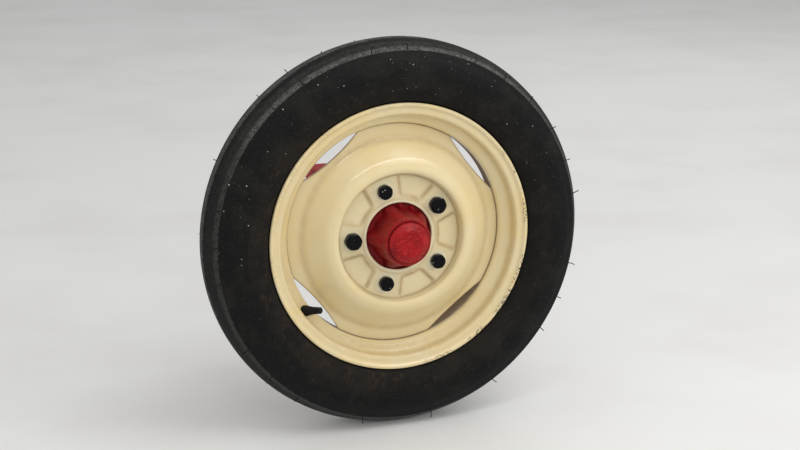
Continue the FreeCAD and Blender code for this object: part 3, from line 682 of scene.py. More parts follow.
def whisker_tree():
    """Geometry nodes that set whiskers round both shoulders of a tyre."""
    tree = bpy.data.node_groups.new("Vent whiskers", "GeometryNodeTree")
    asked = [
        ("Count", "NodeSocketInt"), ("Ring radius", "NodeSocketFloat"),
        ("Ring place", "NodeSocketFloat"), ("Centre", "NodeSocketVector"),
        ("Length", "NodeSocketFloat"), ("Thickness", "NodeSocketFloat"),
        ("Missing", "NodeSocketFloat"), ("Seed", "NodeSocketInt"),
        ("Material", "NodeSocketMaterial"),
    ]
    for name, kind in asked:
        tree.interface.new_socket(name=name, in_out="INPUT", socket_type=kind)
    tree.interface.new_socket(name="Whiskers", in_out="OUTPUT", socket_type="NodeSocketGeometry")
    given = add(tree, "NodeGroupInput").outputs

    # One whisker: a bent, tapering thread that stands on its root and points up Z
    tip = add(tree, "ShaderNodeCombineXYZ", {"X": both(tree, given["Length"], 0.28),
                                             "Z": given["Length"]})
    knee = add(tree, "ShaderNodeCombineXYZ", {"Z": both(tree, given["Length"], 0.6)})
    line = add(tree, "GeometryNodeCurveQuadraticBezier", {
        "Resolution": 5, "Start": (0, 0, 0), "Middle": knee.outputs[0], "End": tip.outputs[0]})
    along = add(tree, "GeometryNodeSplineParameter").outputs["Factor"]
    taper = add(tree, "ShaderNodeMapRange", {0: along, 3: 1.0, 4: 0.45})
    thin = add(tree, "GeometryNodeSetCurveRadius", {"Curve": line.outputs[0],
                                                    "Radius": taper.outputs[0]})
    round_bar = add(tree, "GeometryNodeCurvePrimitiveCircle", {
        "Resolution": 6, "Radius": both(tree, given["Thickness"], 0.5)})
    thread = add(tree, "GeometryNodeCurveToMesh", {
        "Curve": thin.outputs[0], "Profile Curve": round_bar.outputs[0], "Fill Caps": True})

    rings = []
    for side, offset in ((-1, 0), (1, 17)):
        ring = add(tree, "GeometryNodeMeshCircle", {"Vertices": given["Count"],
                                                    "Radius": given["Ring radius"]})
        place = add(tree, "ShaderNodeCombineXYZ", {"Y": both(tree, given["Ring place"], side)})
        upright = add(tree, "GeometryNodeTransform", {
            "Geometry": ring.outputs[0], "Translation": place.outputs[0],
            "Rotation": (math.pi / 2, -0.153 if side < 0 else 0.05, 0)})
        seed = both(tree, given["Seed"], offset, "ADD")
        lost = add(tree, "FunctionNodeRandomValue", {6: given["Missing"], 8: seed},
                   data_type="BOOLEAN").outputs[3]
        kept = add(tree, "FunctionNodeBooleanMath", {0: lost}, operation="NOT").outputs[0]
        spot = add(tree, "GeometryNodeInputPosition").outputs[0]
        outward = add(tree, "ShaderNodeVectorMath", {0: spot, 1: (1, 0, 1)}, operation="MULTIPLY")
        facing = add(tree, "FunctionNodeAlignRotationToVector", {"Vector": outward.outputs[0]},
                     axis="Z")
        lean = add(tree, "FunctionNodeRandomValue", {
            0: (-0.3, -0.3, -3.0), 1: (0.3, 0.3, 3.0), 8: seed}, data_type="FLOAT_VECTOR")
        turn = add(tree, "FunctionNodeEulerToRotation", {0: lean.outputs[0]})
        facing = add(tree, "FunctionNodeRotateRotation", {0: facing.outputs[0], 1: turn.outputs[0]},
                     rotation_space="LOCAL")
        long = add(tree, "FunctionNodeRandomValue", {2: 0.7, 3: 1.0, 8: seed}, data_type="FLOAT")
        size = add(tree, "ShaderNodeCombineXYZ", {"X": 1.0, "Y": 1.0, "Z": long.outputs[1]})
        set_out = add(tree, "GeometryNodeInstanceOnPoints", {
            "Points": upright.outputs[0], "Selection": kept, "Instance": thread.outputs[0],
            "Rotation": facing.outputs[0], "Scale": size.outputs[0]})
        rings.append(set_out.outputs[0])
    joined = add(tree, "GeometryNodeJoinGeometry")
    for ring in rings:
        tree.links.new(ring, joined.inputs[0])
    placed = add(tree, "GeometryNodeTransform", {"Geometry": joined.outputs[0],
                                                 "Translation": given["Centre"]})
    real = add(tree, "GeometryNodeRealizeInstances", {0: placed.outputs[0]})
    covered = add(tree, "GeometryNodeSetMaterial", {"Geometry": real.outputs[0],
                                                    "Material": given["Material"]})
    add(tree, "NodeGroupOutput", {0: covered.outputs[0]})
    return tree


def run_nodes(name, tree, values, mesh=None):
    """The plain mesh that a tree of geometry nodes makes from these inputs."""
    holder = bpy.data.objects.new(name + "_nodes", mesh or bpy.data.meshes.new(name))
    bpy.context.scene.collection.objects.link(holder)
    modifier = holder.modifiers.new(name, "NODES")
    modifier.node_group = tree
    for socket in tree.interface.items_tree:
        if socket.in_out == "INPUT" and socket.name in values:
            modifier[socket.identifier] = values[socket.name]
    return settled(holder, name)


class TRACTOR_OT_whiskers(bpy.types.Operator):
    """Thin rubber whiskers along both shoulders of the tyre, some of them broken off"""
    bl_idname = "tractor.whiskers"
    bl_label = "Vent whiskers"

    def execute(self, context):
        size = sizes("tractor_tyre")
        whisker = sizes("tractor_whiskers")
        tree = whisker_tree()
        plain = run_nodes("tyre_whiskers", tree, {
            "Count": whisker.count, "Ring radius": (size.tread_r - size.shoulder_in - 0.2) / 1000,
            "Ring place": size.shoulder_y / 1000, "Centre": Vector(WHEEL / 1000),
            "Length": whisker.long / 1000, "Thickness": whisker.thick / 1000,
            "Missing": whisker.missing, "Seed": whisker.seed, "Material": material("tyre_rubber")})
        if not plain.data.polygons:
            raise RuntimeError("the whiskers' nodes gave no faces")
        plain.data.shade_smooth()
        dress(plain, "wheel", "tyre_rubber")
        return {"FINISHED"}


# Rim and disc

def rim_outline(size):
    """Closed outline of the rim: well, seat, flange wall and the lip rolled over it."""
    flange_y = size.lip_y - size.lip_w
    face_y = flange_y + size.rim_sheet
    seat_r = size.bead_r - size.rim_sheet
    well_r = size.bead_r - size.well_deep

    def half(well_y, seat_y):
        return [
            (well_r - size.rim_sheet, well_y, 11),
            (seat_r, seat_y, 9),
            (seat_r, face_y, 8.5),
            (size.flange_r - size.lip_drop - 4.2, face_y, 9),
            (size.flange_r - size.lip_drop, size.lip_y, 3.4),
            (size.flange_r, size.lip_y - 1, 2.2),
            (size.flange_r, flange_y + 3, 1.6),
            (size.flange_r - 2.4, flange_y, 2),
            (size.bead_r, flange_y, 8.3),
            (size.bead_r, seat_y, 14),
            (well_r, well_y, 9),
        ]
    # The well reaches further inboard, where only its shaded inside shows through the flats
    inner = half(size.well_in, flange_y - 5)
    outer = half(size.well_half, flange_y - size.seat_w)
    return rounded(inner + [(r, -y, b) for r, y, b in outer[::-1]], True)


class TRACTOR_OT_rim(bpy.types.Operator):
    """Drop-centre rim rolled from sheet, with its curled lips, bead seats and well"""
    bl_idname = "tractor.rim"
    bl_label = "Rim"

    def execute(self, context):
        size = sizes("tractor_rim")
        points, faces, r, y, t = turned(rim_outline(size), True)
        marks = {
            # Dirt and painted shade darken the well where it runs in behind the disc
            "dirt_and_shade": 0.8 * smooth(-7.0, -3.4, y) * (r < 190),
            # Painted shade: a soft dark line in the bend under the flange, left out round the left side,
            # a darker lower part of the seat, and a faint darkening over the flange wall
            "shade": np.maximum.reduce([
                0.38 * np.exp(-((r - 200.5) / 3.0) ** 2) * (1 - smooth(0.1, 0.8, np.cos(t - math.radians(162)))),
                0.36 * smooth(-0.3, 0.8, np.cos(t - math.radians(235))) * (r < 203),
                0.14 * smooth(202, 204, r) * (1 - smooth(212, 216, r))]) * (y < -12),
            "knocked": (smooth(size.flange_r - 9, size.flange_r - 4, r) * (y < 0)
                        * (0.25 + 0.75 * smooth(0.3, 0.8, np.cos(t + math.radians(24))))),
            "dusty": 0.85 * smooth(-3.5, 2, y),
        }
        rim = mesh_object("rim_dressed", to_row(points), faces, "cream_enamel", marks)
        dress(rim, "wheel", "cream_enamel", "rim")
        return {"FINISHED"}


FLAT_ANGLE = 38.0
FLAT_DEPTH = 15.3
FLAT_BOW = 362.0
RECESS_R = 102.0
RING_Y = -31.0
DISC_R = 1000 * DISC_BOX[1].x
FLAT_START_R = 146.0
BOLT_ANGLE = 36.0


def disc_corners(size):
    """Front face of the disc, from the middle hole over the bulge to the rim's well."""
    return [
        (size.hole_r, RING_Y, 0),
        (RECESS_R, RING_Y, 4),
        (RECESS_R + 4, RING_Y - 13, 6),
        (RECESS_R + 11, RING_Y - 15.5, 16),
        (RECESS_R + 24, RING_Y - 11, 42),
        (DISC_R - 23.8, -11, 26),
        (DISC_R, -3.6, 0),
    ]


def flat_reach(t):
    """How far the disc's edge reaches at each angle, with the four bowed flats cut off."""
    spacing = math.pi / 2
    off = (t - math.radians(FLAT_ANGLE) + spacing / 2) % spacing - spacing / 2
    centre = DISC_R - FLAT_DEPTH + FLAT_BOW
    inside = FLAT_BOW ** 2 - (centre * np.sin(off)) ** 2
    chord = centre * np.cos(off) - np.sqrt(np.maximum(inside, 0))
    return np.where(inside > 0, np.minimum(chord, DISC_R), DISC_R)


def outside_distance(px, py, corners):
    """Distance of each point from a closed outline, negative inside it."""
    best = np.full(px.shape, 1e9)
    inside = np.zeros(px.shape, bool)
    for (ax, ay), (bx, by) in zip(corners, corners[1:] + corners[:1]):
        ex, ey = bx - ax, by - ay
        share = np.clip(((px - ax) * ex + (py - ay) * ey) / (ex * ex + ey * ey), 0, 1)
        best = np.minimum(best, np.hypot(px - ax - ex * share, py - ay - ey * share))
        if ey:
            inside ^= ((ay > py) != (by > py)) & (px < ax + (py - ay) * ex / ey)
    return np.where(inside, -best, best)


def pad_distance(r, t):
    """Distance from the edge of the nearest recessed pad, negative inside the pad."""
    corner = 8.0
    low, high = 67 + corner, RECESS_R + 4 - corner
    upper = [(low, 9.8), (high, 13.7)]
    arc = [(high, a) for a in np.linspace(upper[-1][1], -upper[-1][1], 9)[1:-1]]
    polar = upper + arc + [(p, -a) for p, a in upper[::-1]]
    polar += [(low, a) for a in (-5, 0, 5)]
    corners = [(p * math.cos(math.radians(a)), p * math.sin(math.radians(a))) for p, a in polar]
    spacing = math.radians(72)
    off = (t + spacing / 2) % spacing - spacing / 2
    return outside_distance(r * np.cos(off), r * np.sin(off), corners) - corner


def press_disc(size):
    """The function that presses pads into the turned disc and draws its edge in at the flats."""
    face = rounded(disc_corners(size), False, 1.0)

    def press(r, y, t):
        share = np.clip((r - FLAT_START_R) / (DISC_R - FLAT_START_R), 0, None)
        drawn = np.where(r > FLAT_START_R, FLAT_START_R + share * (flat_reach(t) - FLAT_START_R), r)
        y = y + np.interp(drawn, face[:, 0], face[:, 1]) - np.interp(r, face[:, 0], face[:, 1])
        depth = size.pad_deep * (1 - smooth(-5.0, 2.0, pad_distance(r, t)))
        depth = depth * (1 - smooth(RECESS_R - 1, RECESS_R + 6, r))
        return drawn, y + depth
    return press


def disc_marks(r, y, t, hole_r, bolt_circle):
    """Where dirt and painted shade lie on the disc, where painted highlights ring the bolts and the
    hole, and where its paint is paler.
    """
    edge = pad_distance(r, t)
    foot = np.exp(-((r - RECESS_R - 0.2) / 1.4) ** 2)
    pads = np.exp(-((edge + 0.4) / 3.6) ** 2) * (1 - smooth(RECESS_R - 4, RECESS_R, r))
    brim = smooth(-3.2, -0.3, r - flat_reach(t)) * 0.75
    spacing = math.radians(72)
    off = (t - math.radians(BOLT_ANGLE) + spacing / 2) % spacing - spacing / 2
    from_bolt = np.hypot(r * np.cos(off) - bolt_circle, r * np.sin(off))
    front = y < np.where(r > 140, -1.0, RING_Y + 4.8)
    front |= (r > 100) & (r < 140)
    return {
        # Dirt and painted shade at the foot of the recess wall and in the joint at the disc's edge
        "dirt_and_shade": np.maximum(foot * 0.45, brim) * front,
        # Painted shade round the pads, along the fold near 159 mm and in a ring outside the hole
        "shade": np.maximum.reduce([0.85 * pads, 0.4 * np.exp(-((r - 159) / 5) ** 2),
                                    0.45 * np.exp(-((r - hole_r - 6.5) / 1.8) ** 2)]) * front,
        "pale": (1 - smooth(94, 103, r)) * 0.8,
        # Painted highlights: light rings round the bolts' seats and on the lip of the middle hole
        "painted_highlight": np.maximum(1 - smooth(15, 18.5, from_bolt), 1 - smooth(hole_r + 3, hole_r + 5, r)) * front,
        "dusty": 1.0 - front,
    }


class TRACTOR_OT_disc(bpy.types.Operator):
    """Pressed disc with its bulge, five recessed pads and four bowed flats"""
    bl_idname = "tractor.disc"
    bl_label = "Disc"

    def execute(self, context):
        size = sizes("tractor_rim")
        outline = sheet_outline(disc_corners(size), size.disc_sheet, 2.4, 0.8, 2.15)
        points, faces, r, y, t = turned(outline, True, press_disc(size), 480)
        marks = disc_marks(r, y, t, size.hole_r, sizes("tractor_hub").bolt_circle)
        disc = mesh_object("disc_dressed", to_row(points), faces, "cream_enamel", marks)
        dress(disc, "wheel", "cream_enamel", "disc")
        return {"FINISHED"}


# Hub, cap, bolts and fittings

HUB_FRONT = -22.5
HUB_TIP_Y = -75.0
HUB_TIP_R = 38.4
HUB_ROOT_R = 45.0
HUB_EDGE_R = 97.0
WEB_ROOT_R = 54.0
WEB_TOP_Y = -66.0


def hub_corners():
    """Closed outline of the hub: mouth, barrel, flange, back and the two bearing lands."""
    return [
        (12.55, -60, 0), (33.5, -60, 0.8), (33.5, HUB_TIP_Y, 0.8), (HUB_TIP_R, HUB_TIP_Y, 1.8),
        (HUB_ROOT_R, HUB_FRONT, 5), (HUB_EDGE_R, HUB_FRONT, 1.2), (HUB_EDGE_R, -10.5, 1.2),
        (41, -10.5, 3), (41, 17.0, 1), (17.55, 17.0, 0), (17.55, 1.0, 0), (27, 1.0, 1.5),
        (27, -44, 1.5), (12.55, -44, 0),
    ]


def cast_hub(web_w):
    """The function that raises five webs between the hub's barrel and its flange."""
    def cast(r, y, t):
        spacing = math.radians(72)
        off = (t - math.radians(BOLT_ANGLE) + spacing / 2) % spacing - spacing / 2
        aside = np.abs(HUB_ROOT_R * np.sin(off))
        web = 1 - smooth(web_w / 2 - 2, web_w / 2 + 9, aside)
        down = np.clip((y - WEB_TOP_Y) / (HUB_FRONT - 6 - WEB_TOP_Y), 0, 1)
        top = HUB_TIP_R + 1.2 + down * (WEB_ROOT_R - HUB_TIP_R - 1.2)
        barrel = (y < HUB_FRONT + 0.01) & (y > WEB_TOP_Y) & (r > 37.5) & (r < HUB_ROOT_R + 5.5)
        raised_r = r + web * np.maximum(top - r, 0)
        foot = HUB_ROOT_R + web * (WEB_ROOT_R - HUB_ROOT_R)
        flange = (np.abs(y - HUB_FRONT) < 0.02) & (r >= HUB_ROOT_R)
        spread = foot + (r - HUB_ROOT_R) * (HUB_EDGE_R - foot) / (HUB_EDGE_R - HUB_ROOT_R)
        return np.where(flange, spread, np.where(barrel, raised_r, r)), y
    return cast


class TRACTOR_OT_hub(bpy.types.Operator):
    """Cast hub with five webs on its barrel, under thick red paint"""
    bl_idname = "tractor.hub"
    bl_label = "Hub"

    def execute(self, context):
        outline = rounded(hub_corners(), True, 2.4)
        points, faces, r, y, t = turned(outline, True, cast_hub(sizes("tractor_hub").web_w), 300)
        # Painted shade darkens the barrel down into the disc's hole and in the crease round the cap; a painted
        # highlight lightens the barrel's tip
        deep = smooth(-70, -30, y) * (r > 30)
        crease = (1 - smooth(34.2, 36, r)) * (y < -72)
        tip = (1 - smooth(-71, -60, y)) * smooth(35.5, 37.5, r)
        marks = {"dirt_and_shade": np.maximum(0.35 + 0.4 * deep, crease), "dusty": smooth(-14, -9, y) * 0.5,
                 "pale": 0.6 * tip}
        hub = mesh_object("hub_dressed", to_row(points), faces, "red_enamel", marks)
        dress(hub, "wheel", "red_enamel", "hub")
        return {"FINISHED"}


class TRACTOR_OT_hub_cap(bpy.types.Operator):
    """Pressed-in hub cap with a wide bevel and a slightly bellied face"""
    bl_idname = "tractor.hub_cap"
    bl_label = "Hub cap"

    def execute(self, context):
        side = 1000 * CAP_BOX[1].x
        face = 1000 * CAP_BOX[0].y - WHEEL[1]
        corners = [
            (0, face, 0), (12, face + 0.15, 40), (side - 11.9, face + 0.6, 7), (side, face + 9.5, 4.5),
            (side, -64, 1), (side - 3, -64, 1), (side - 3, -77.5, 1.5), (0, -77.5, 0),
        ]
        points, faces, r, y, t = turned(rounded(corners, False, 1.6), False, around=240)
        # The cap's skirt inside the hub's mouth is darkened: painted shade
        marks = {"pale": 0.55 + 0.45 * (1 - smooth(face + 1, face + 8, y)), "dirt_and_shade": smooth(-80, -75.6, y)}
        cap = mesh_object("hub_cap_dressed", to_row(points), faces, "red_enamel", marks)
        dress(cap, "wheel", "red_enamel", "hub_cap")
        return {"FINISHED"}


def bolt_mesh(name, flats, head, shank_r, shank):
    """A hexagon bolt about Y: its head above y = 0 towards -Y, its shank below, in metres."""
    face_r = flats / 2 * 0.86
    path = rounded([
        (0, -head, 0), (face_r * 0.5, -head + 0.1, 20), (face_r, -head + 0.5, 2.2),
        (flats / 2, -head + 2.2, 1.6), (flats / 2, -0.9, 0.5), (flats / 2 - 0.8, 0, 0),
        (shank_r, 0.01, 0), (shank_r, shank, 0.8), (0, shank, 0)], False, 1.0)

    def forge(r, y, t):
        sector = math.radians(60)
        off = (t + sector / 2) % sector - sector / 2
        # Thick paint takes the sharpness off the corners
        hexagon = 1 + (1 / np.cos(off) - 1) * 0.35
        outer = smooth(face_r - 1.5, flats / 2, r)
        grown = r * (1 + (hexagon - 1) * outer)
        lower = np.maximum(grown - flats / 2, 0) * 0.9
        return grown, np.where((y < -head + 3.5) & (r > face_r - 1.5), y + lower, y)

    points, faces, r, y, t = turned(path, False, forge, 72)
    return points / 1000, faces


def bolt_ring_tree():
    """Geometry nodes that set a bolt at each place of a bolt circle."""
    tree = bpy.data.node_groups.new("Bolt circle", "GeometryNodeTree")
    asked = [("Bolt", "NodeSocketGeometry"), ("Count", "NodeSocketInt"), ("Radius", "NodeSocketFloat"),
             ("First angle", "NodeSocketFloat"), ("Centre", "NodeSocketVector"),
             ("Renewed", "NodeSocketInt"), ("Growth", "NodeSocketFloat"),
             ("Seed", "NodeSocketInt"), ("Material", "NodeSocketMaterial")]
    for name, kind in asked:
        tree.interface.new_socket(name=name, in_out="INPUT", socket_type=kind)
    tree.interface.new_socket(name="Bolts", in_out="OUTPUT", socket_type="NodeSocketGeometry")
    given = add(tree, "NodeGroupInput").outputs
    ring = add(tree, "GeometryNodeMeshCircle", {"Vertices": given["Count"], "Radius": given["Radius"]})
    turn = add(tree, "ShaderNodeCombineXYZ", {"X": math.pi / 2, "Y": both(tree, given["First angle"], -1)})
    upright = add(tree, "GeometryNodeTransform", {"Geometry": ring.outputs[0],
                                                  "Rotation": turn.outputs[0]})
    # Each bolt was tightened to its own angle
    twist = add(tree, "FunctionNodeRandomValue", {2: 0.0, 3: math.pi, 8: given["Seed"]},
                data_type="FLOAT").outputs[1]
    twisted = add(tree, "ShaderNodeCombineXYZ", {"Y": twist})
    stand = add(tree, "FunctionNodeEulerToRotation", {0: twisted.outputs[0]})
    # The bolts differ a little in size, because two of them were renewed
    turn_number = add(tree, "GeometryNodeInputIndex").outputs[0]
    first = add(tree, "FunctionNodeCompare", {2: turn_number, 3: 0}, data_type="INT",
                operation="EQUAL").outputs[0]
    third = add(tree, "FunctionNodeCompare", {2: turn_number, 3: given["Renewed"]}, data_type="INT",
                operation="EQUAL").outputs[0]
    renewed = both(tree, both(tree, first, third, "ADD"), given["Growth"])
    bolt_size = both(tree, renewed, 0.97, "ADD")
    placed = add(tree, "GeometryNodeInstanceOnPoints", {
        "Points": upright.outputs[0], "Instance": given["Bolt"], "Rotation": stand.outputs[0],
        "Scale": bolt_size})
    moved = add(tree, "GeometryNodeTransform", {"Geometry": placed.outputs[0],
                                                "Translation": given["Centre"]})
    real = add(tree, "GeometryNodeRealizeInstances", {0: moved.outputs[0]})
    covered = add(tree, "GeometryNodeSetMaterial", {"Geometry": real.outputs[0],
                                                    "Material": given["Material"]})
    add(tree, "NodeGroupOutput", {0: covered.outputs[0]})
    return tree


class TRACTOR_OT_wheel_bolts(bpy.types.Operator):
    """Wheel bolts with black-painted hexagon heads on the disc's seats"""
    bl_idname = "tractor.wheel_bolts"
    bl_label = "Wheel bolts"

    def execute(self, context):
        hub = sizes("tractor_hub")
        points, faces = bolt_mesh("wheel_bolt", hub.bolt_flats, hub.bolt_head, 7, 23.5)
        one = mesh_object("one_bolt", points, faces, "black_steel")
        mesh = one.data
        bpy.data.objects.remove(one)
        centre = Vector((WHEEL + (0, RING_Y, 0)) / 1000)
        plain = run_nodes("wheel_bolts_dressed", bolt_ring_tree(), {
            "Count": hub.bolt_count, "Radius": hub.bolt_circle / 1000,
            "First angle": math.radians(BOLT_ANGLE), "Centre": centre, "Seed": 3,
            "Renewed": 2, "Growth": 0.14,
            "Material": material("black_steel")}, mesh)
        if len(plain.data.polygons) < hub.bolt_count * 100:
            raise RuntimeError("the bolts' nodes gave too few faces")
        names = [f"wheel_bolt_{i + 1}" for i in range(hub.bolt_count)]
        dress(plain, "wheel", "black_steel", *names)
        return {"FINISHED"}


class TRACTOR_OT_arm_bolts(bpy.types.Operator):
    """The two bolts that hold the steering arm to the stub axle"""
    bl_idname = "tractor.arm_bolts"
    bl_label = "Steering arm bolts"

    def execute(self, context):
        for name in ("arm_bolt_1", "arm_bolt_2"):
            low, high = (1000 * np.array(corner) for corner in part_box(name))
            head, flats = 8.0, high[1] - low[1]
            flats = min(flats, high[2] - low[2])
            points, faces = bolt_mesh(name, flats, head, 6, high[0] - low[0] - head)
            seat = np.array((low[0] + head, (low[1] + high[1]) / 2, (low[2] + high[2]) / 2)) / 1000
            bolt = mesh_object(name + "_dressed", standing(points, seat, (1, 0, 0)), faces,
                               "black_steel")
            dress(bolt, "knuckle", "black_steel", name)
        return {"FINISHED"}


VALVE_ANGLE = 214.8
VALVE_FOOT = (196.5, -14.5)
VALVE_BEND = 0.22


class TRACTOR_OT_valve(bpy.types.Operator):
    """Rubber tyre valve with its tapered stem and screwed cap"""
    bl_idname = "tractor.valve"
    bl_label = "Valve"

    def execute(self, context):
        lean = sizes("tractor_hub").valve_lean
        foot = on_wheel(VALVE_ANGLE, *VALVE_FOOT)
        along = on_wheel(VALVE_ANGLE, -math.sin(lean), -math.cos(lean))
        along += on_wheel(VALVE_ANGLE + 90, VALVE_BEND, 0)
        stem = [(0, -3, 0), (8.4, -3, 0.5), (9.3, 2, 3), (9.0, 8, 6), (7.4, 15, 14),
                (6.2, 22, 14), (5.6, 30, 0.6), (0, 30, 0)]
        cap = [(0, 30, 0), (4.9, 30, 0.4), (5.3, 31.5, 0.6), (5.3, 36.2, 1.4), (3.6, 38, 1), (0, 38, 0)]

        def knurl(r, y, t):
            grip = (r > 4.8) & (y > 31.4) & (y < 36.3)
            return np.where(grip, r + 0.18 * np.cos(18 * t), r), y

        for name, corners, shape in (("valve_stem", stem, None), ("valve_cap", cap, knurl)):
            points, faces, r, y, t = turned(rounded(corners, False, 1.2), False, shape, 96)
            piece = mesh_object(name + "_dressed", to_row(standing(points, foot, along)), faces,
                                "valve_rubber", crease=45)
            dress(piece, "wheel", "valve_rubber", name)
        return {"FINISHED"}


class TRACTOR_OT_hub_fittings(bpy.types.Operator):
    """Two small plugs in the hub's flange, seen through the disc's hole"""
    bl_idname = "tractor.hub_fittings"
    bl_label = "Hub fittings"

    def execute(self, context):
        corners = [(0, -7, 0), (1.9, -7, 0.8), (2.2, -5, 0.4), (1.7, -4.2, 0.3), (3.4, -3, 0.5),
                   (3.5, 1, 0), (0, 1, 0)]
        for name in ("hub_fitting_1", "hub_fitting_2"):
            low, high = (1000 * np.array(corner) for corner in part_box(name))
            foot = ((low + high) / 2) * (1, 0, 1) + (0, high[1], 0)
            points, faces, r, y, t = turned(rounded(corners, False, 0.6), False, around=48)
            plug = mesh_object(name + "_dressed", (points + foot) / 1000, faces, "red_enamel")
            dress(plug, "wheel", "red_enamel", name)
        return {"FINISHED"}


# Pieces of the axle, from merged copies of their solids

CASTINGS = {"axle_arm": "axle_end", "stub_axle": "knuckle", "steering_arm": "knuckle"}
SMALL_PIECES = {
    "dust_ring": ("wheel", "zinc_steel"), "thrust_washer": ("axle_end", "ground_steel"),
    "kingpin": ("axle_end", "ground_steel"), "cotter_bolt": ("axle_end", "zinc_steel"),
    "cotter_nut": ("axle_end", "zinc_steel"), "upper_bush": ("knuckle", "bronze"),
    "lower_bush": ("knuckle", "bronze"), "upper_pin_cap": ("knuckle", "red_enamel"),
    "lower_pin_cap": ("knuckle", "red_enamel"), "upper_nipple": ("knuckle", "zinc_steel"),
    "lower_nipple": ("knuckle", "zinc_steel"),
}


def merged_copy(node, name):
    """A copy of a node's mesh whose loose triangles are joined into flat faces."""
    mesh = frame["nodes"][node].data.copy()
    mesh.name = name
    shape = bmesh.new()
    shape.from_mesh(mesh)
    bmesh.ops.remove_doubles(shape, verts=shape.verts, dist=1e-6)
    bmesh.ops.dissolve_limit(shape, angle_limit=math.radians(0.5), verts=shape.verts,
                             edges=shape.edges)
    shape.to_mesh(mesh)
    shape.free()
    mesh.materials.clear()
    obj = bpy.data.objects.new(name, mesh)
    bpy.context.scene.collection.objects.link(obj)
    return obj


class TRACTOR_OT_castings(bpy.types.Operator):
    """Axle arm, stub axle and steering arm with the soft edges of castings and forgings"""
    bl_idname = "tractor.castings"
    bl_label = "Axle castings"

    def execute(self, context):
        for node, body in CASTINGS.items():
            rough = merged_copy(node, node + "_rough")
            remesh = rough.modifiers.new("even", "REMESH")
            remesh.mode, remesh.voxel_size = "VOXEL", 0.0017
            soften = rough.modifiers.new("soften", "SMOOTH")
            soften.factor, soften.iterations = 0.5, 7
            casting = settled(rough, node + "_dressed")
            count = len(casting.data.vertices)
            if count < 1000:
                raise RuntimeError(node + " did not remesh")
            casting.data.materials.clear()
            casting.data.materials.append(material("red_enamel"))
            casting.data.shade_smooth()
            dust = np.array([v.normal.z for v in casting.data.vertices])
            layer = casting.data.attributes.new("dusty", "FLOAT", "POINT")
            layer.data.foreach_set("value", (0.3 * smooth(0.4, 1.0, dust)).astype(np.float32))
            dress(casting, body, "red_enamel", node)
        return {"FINISHED"}


class TRACTOR_OT_small_pieces(bpy.types.Operator):
    """Rings, pins, bushes, caps and nipples with their edges broken"""
    bl_idname = "tractor.small_pieces"
    bl_label = "Small axle pieces"

    def execute(self, context):
        for node, (body, slot) in SMALL_PIECES.items():
            plain = merged_copy(node, node + "_plain")
            edge = plain.modifiers.new("broken edges", "BEVEL")
            edge.width, edge.segments, edge.limit_method = 0.0006, 2, "ANGLE"
            edge.angle_limit = math.radians(35)
            piece = settled(plain, node + "_dressed")
            piece.data.materials.clear()
            piece.data.materials.append(material(slot))
            piece.data.shade_smooth()
            piece.data.set_sharp_from_angle(angle=math.radians(32))
            dress(piece, body, slot, node)
        return {"FINISHED"}


# Stage

CAMERA_PLACE = (-0.88025, -2.84789, 0.68307)
CAMERA_TURN = (75.8981, 0.7274, -19.6546)
CAMERA_LENS = 76.066
# Place from the wheel's centre, size, power, and whether glossy faces mirror the lamp
LAMPS = {
    "strip": ((0.3, -1.25, 2.55), (4.0, 0.14), 13.0, True),
    "overhead": ((1.4, -1.2, 2.5), (3.2, 1.8), 26.0, True),
    "front": ((-0.4, -4.2, 2.0), (2.6, 1.6), 36.0, False),
    "left": ((-2.8, -2.2, 1.4), (1.8, 1.8), 11.0, False),
    "right": ((3.0, -2.6, 1.1), (1.8, 1.2), 36.0, False),
    "behind": ((2.6, 3.2, 2.8), (3.0, 1.8), 30.0, False),
}


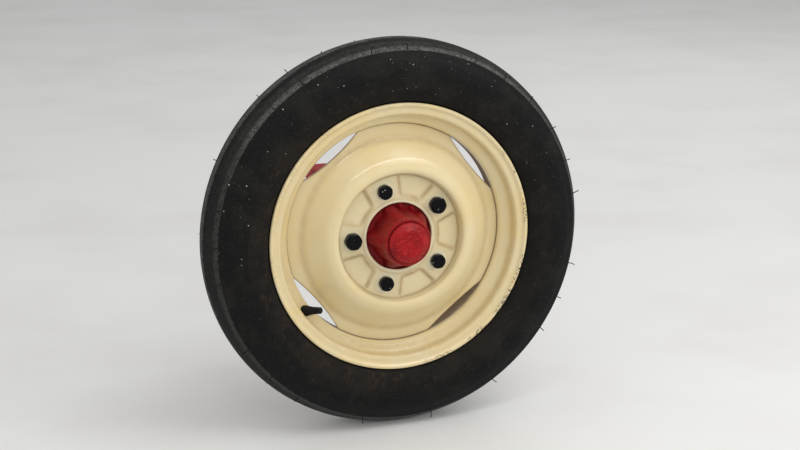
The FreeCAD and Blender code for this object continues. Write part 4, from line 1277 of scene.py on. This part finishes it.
class TRACTOR_OT_stage(bpy.types.Operator):
    """Pale floor, soft lamps and the camera at the photograph's angle"""
    bl_idname = "tractor.stage"
    bl_label = "Floor, light and camera"

    def execute(self, context):
        scene = context.scene
        reach = 30.0
        depth = TYRE_BOX[0].z
        mesh = bpy.data.meshes.new("floor")
        corners = [(-reach, -reach, depth), (reach, -reach, depth), (reach, reach, depth),
                   (-reach, reach, depth)]
        mesh.from_pydata(corners, [], [(0, 1, 2, 3)])
        mesh.materials.append(material("floor"))
        floor = bpy.data.objects.new("floor", mesh)
        scene.collection.objects.link(floor)
        # Glossy faces that look down at the floor would turn grey with its reflection
        floor.visible_glossy = False

        aim = Vector(WHEEL / 1000)
        for name, (place, size, power, mirrored) in LAMPS.items():
            lamp = bpy.data.lights.new(name, "AREA")
            lamp.shape, lamp.size, lamp.size_y, lamp.energy = "RECTANGLE", size[0], size[1], power
            holder = bpy.data.objects.new(name, lamp)
            holder.location = Vector(place) + aim
            holder.rotation_euler = (-Vector(place)).to_track_quat("-Z", "Y").to_euler()
            holder.visible_glossy = mirrored
            scene.collection.objects.link(holder)

        world = bpy.data.worlds.new("pale room")
        world.use_nodes = True
        world.node_tree.nodes.clear()
        sky = add(world.node_tree, "ShaderNodeBackground", {0: linear("#F2F3F5") + (1,), 1: 0.62})
        add(world.node_tree, "ShaderNodeOutputWorld", {0: sky.outputs[0]})
        scene.world = world
        # Plain sRGB, so that the finishes keep their own colours
        scene.view_settings.view_transform = "Standard"

        camera = bpy.data.cameras.new("camera")
        camera.lens, camera.sensor_width = CAMERA_LENS, 36.0
        camera.clip_start, camera.clip_end = 0.05, 100.0
        holder = bpy.data.objects.new("camera", camera)
        holder.location = CAMERA_PLACE
        holder.rotation_euler = [math.radians(a) for a in CAMERA_TURN]
        scene.collection.objects.link(holder)
        scene.camera = holder
        return {"FINISHED"}


PIECES = (
    TRACTOR_OT_tyre, TRACTOR_OT_whiskers, TRACTOR_OT_rim, TRACTOR_OT_disc, TRACTOR_OT_hub,
    TRACTOR_OT_hub_cap, TRACTOR_OT_wheel_bolts, TRACTOR_OT_hub_fittings, TRACTOR_OT_valve,
    TRACTOR_OT_arm_bolts, TRACTOR_OT_castings, TRACTOR_OT_small_pieces, TRACTOR_OT_stage,
)


class TRACTOR_PT_wheel(bpy.types.Panel):
    """Sizes, colours and pieces of the wheel"""
    bl_idname = "TRACTOR_PT_wheel"
    bl_label = "Tractor front wheel"
    bl_space_type = "VIEW_3D"
    bl_region_type = "UI"
    bl_category = "Tractor wheel"

    def draw(self, context):
        for name, group in PROPERTY_GROUPS.items():
            box = self.layout.box()
            box.label(text=group.__doc__)
            for prop in group.__annotations__:
                box.prop(getattr(context.scene, name), prop)
        for piece in PIECES:
            self.layout.operator(piece.bl_idname)


def register():
    for group in PROPERTY_GROUPS.values():
        bpy.utils.register_class(group)
    for name, group in PROPERTY_GROUPS.items():
        setattr(bpy.types.Scene, name, PointerProperty(type=group))
    for piece in PIECES + (TRACTOR_PT_wheel,):
        bpy.utils.register_class(piece)


def unregister():
    for piece in (TRACTOR_PT_wheel,) + PIECES[::-1]:
        bpy.utils.unregister_class(piece)
    for name in PROPERTY_GROUPS:
        delattr(bpy.types.Scene, name)
    for group in reversed(list(PROPERTY_GROUPS.values())):
        bpy.utils.unregister_class(group)


def main():
    register()
    for piece in PIECES:
        group, call = piece.bl_idname.split(".")
        getattr(getattr(bpy.ops, group), call)()


if __name__ == "__main__":
    main()
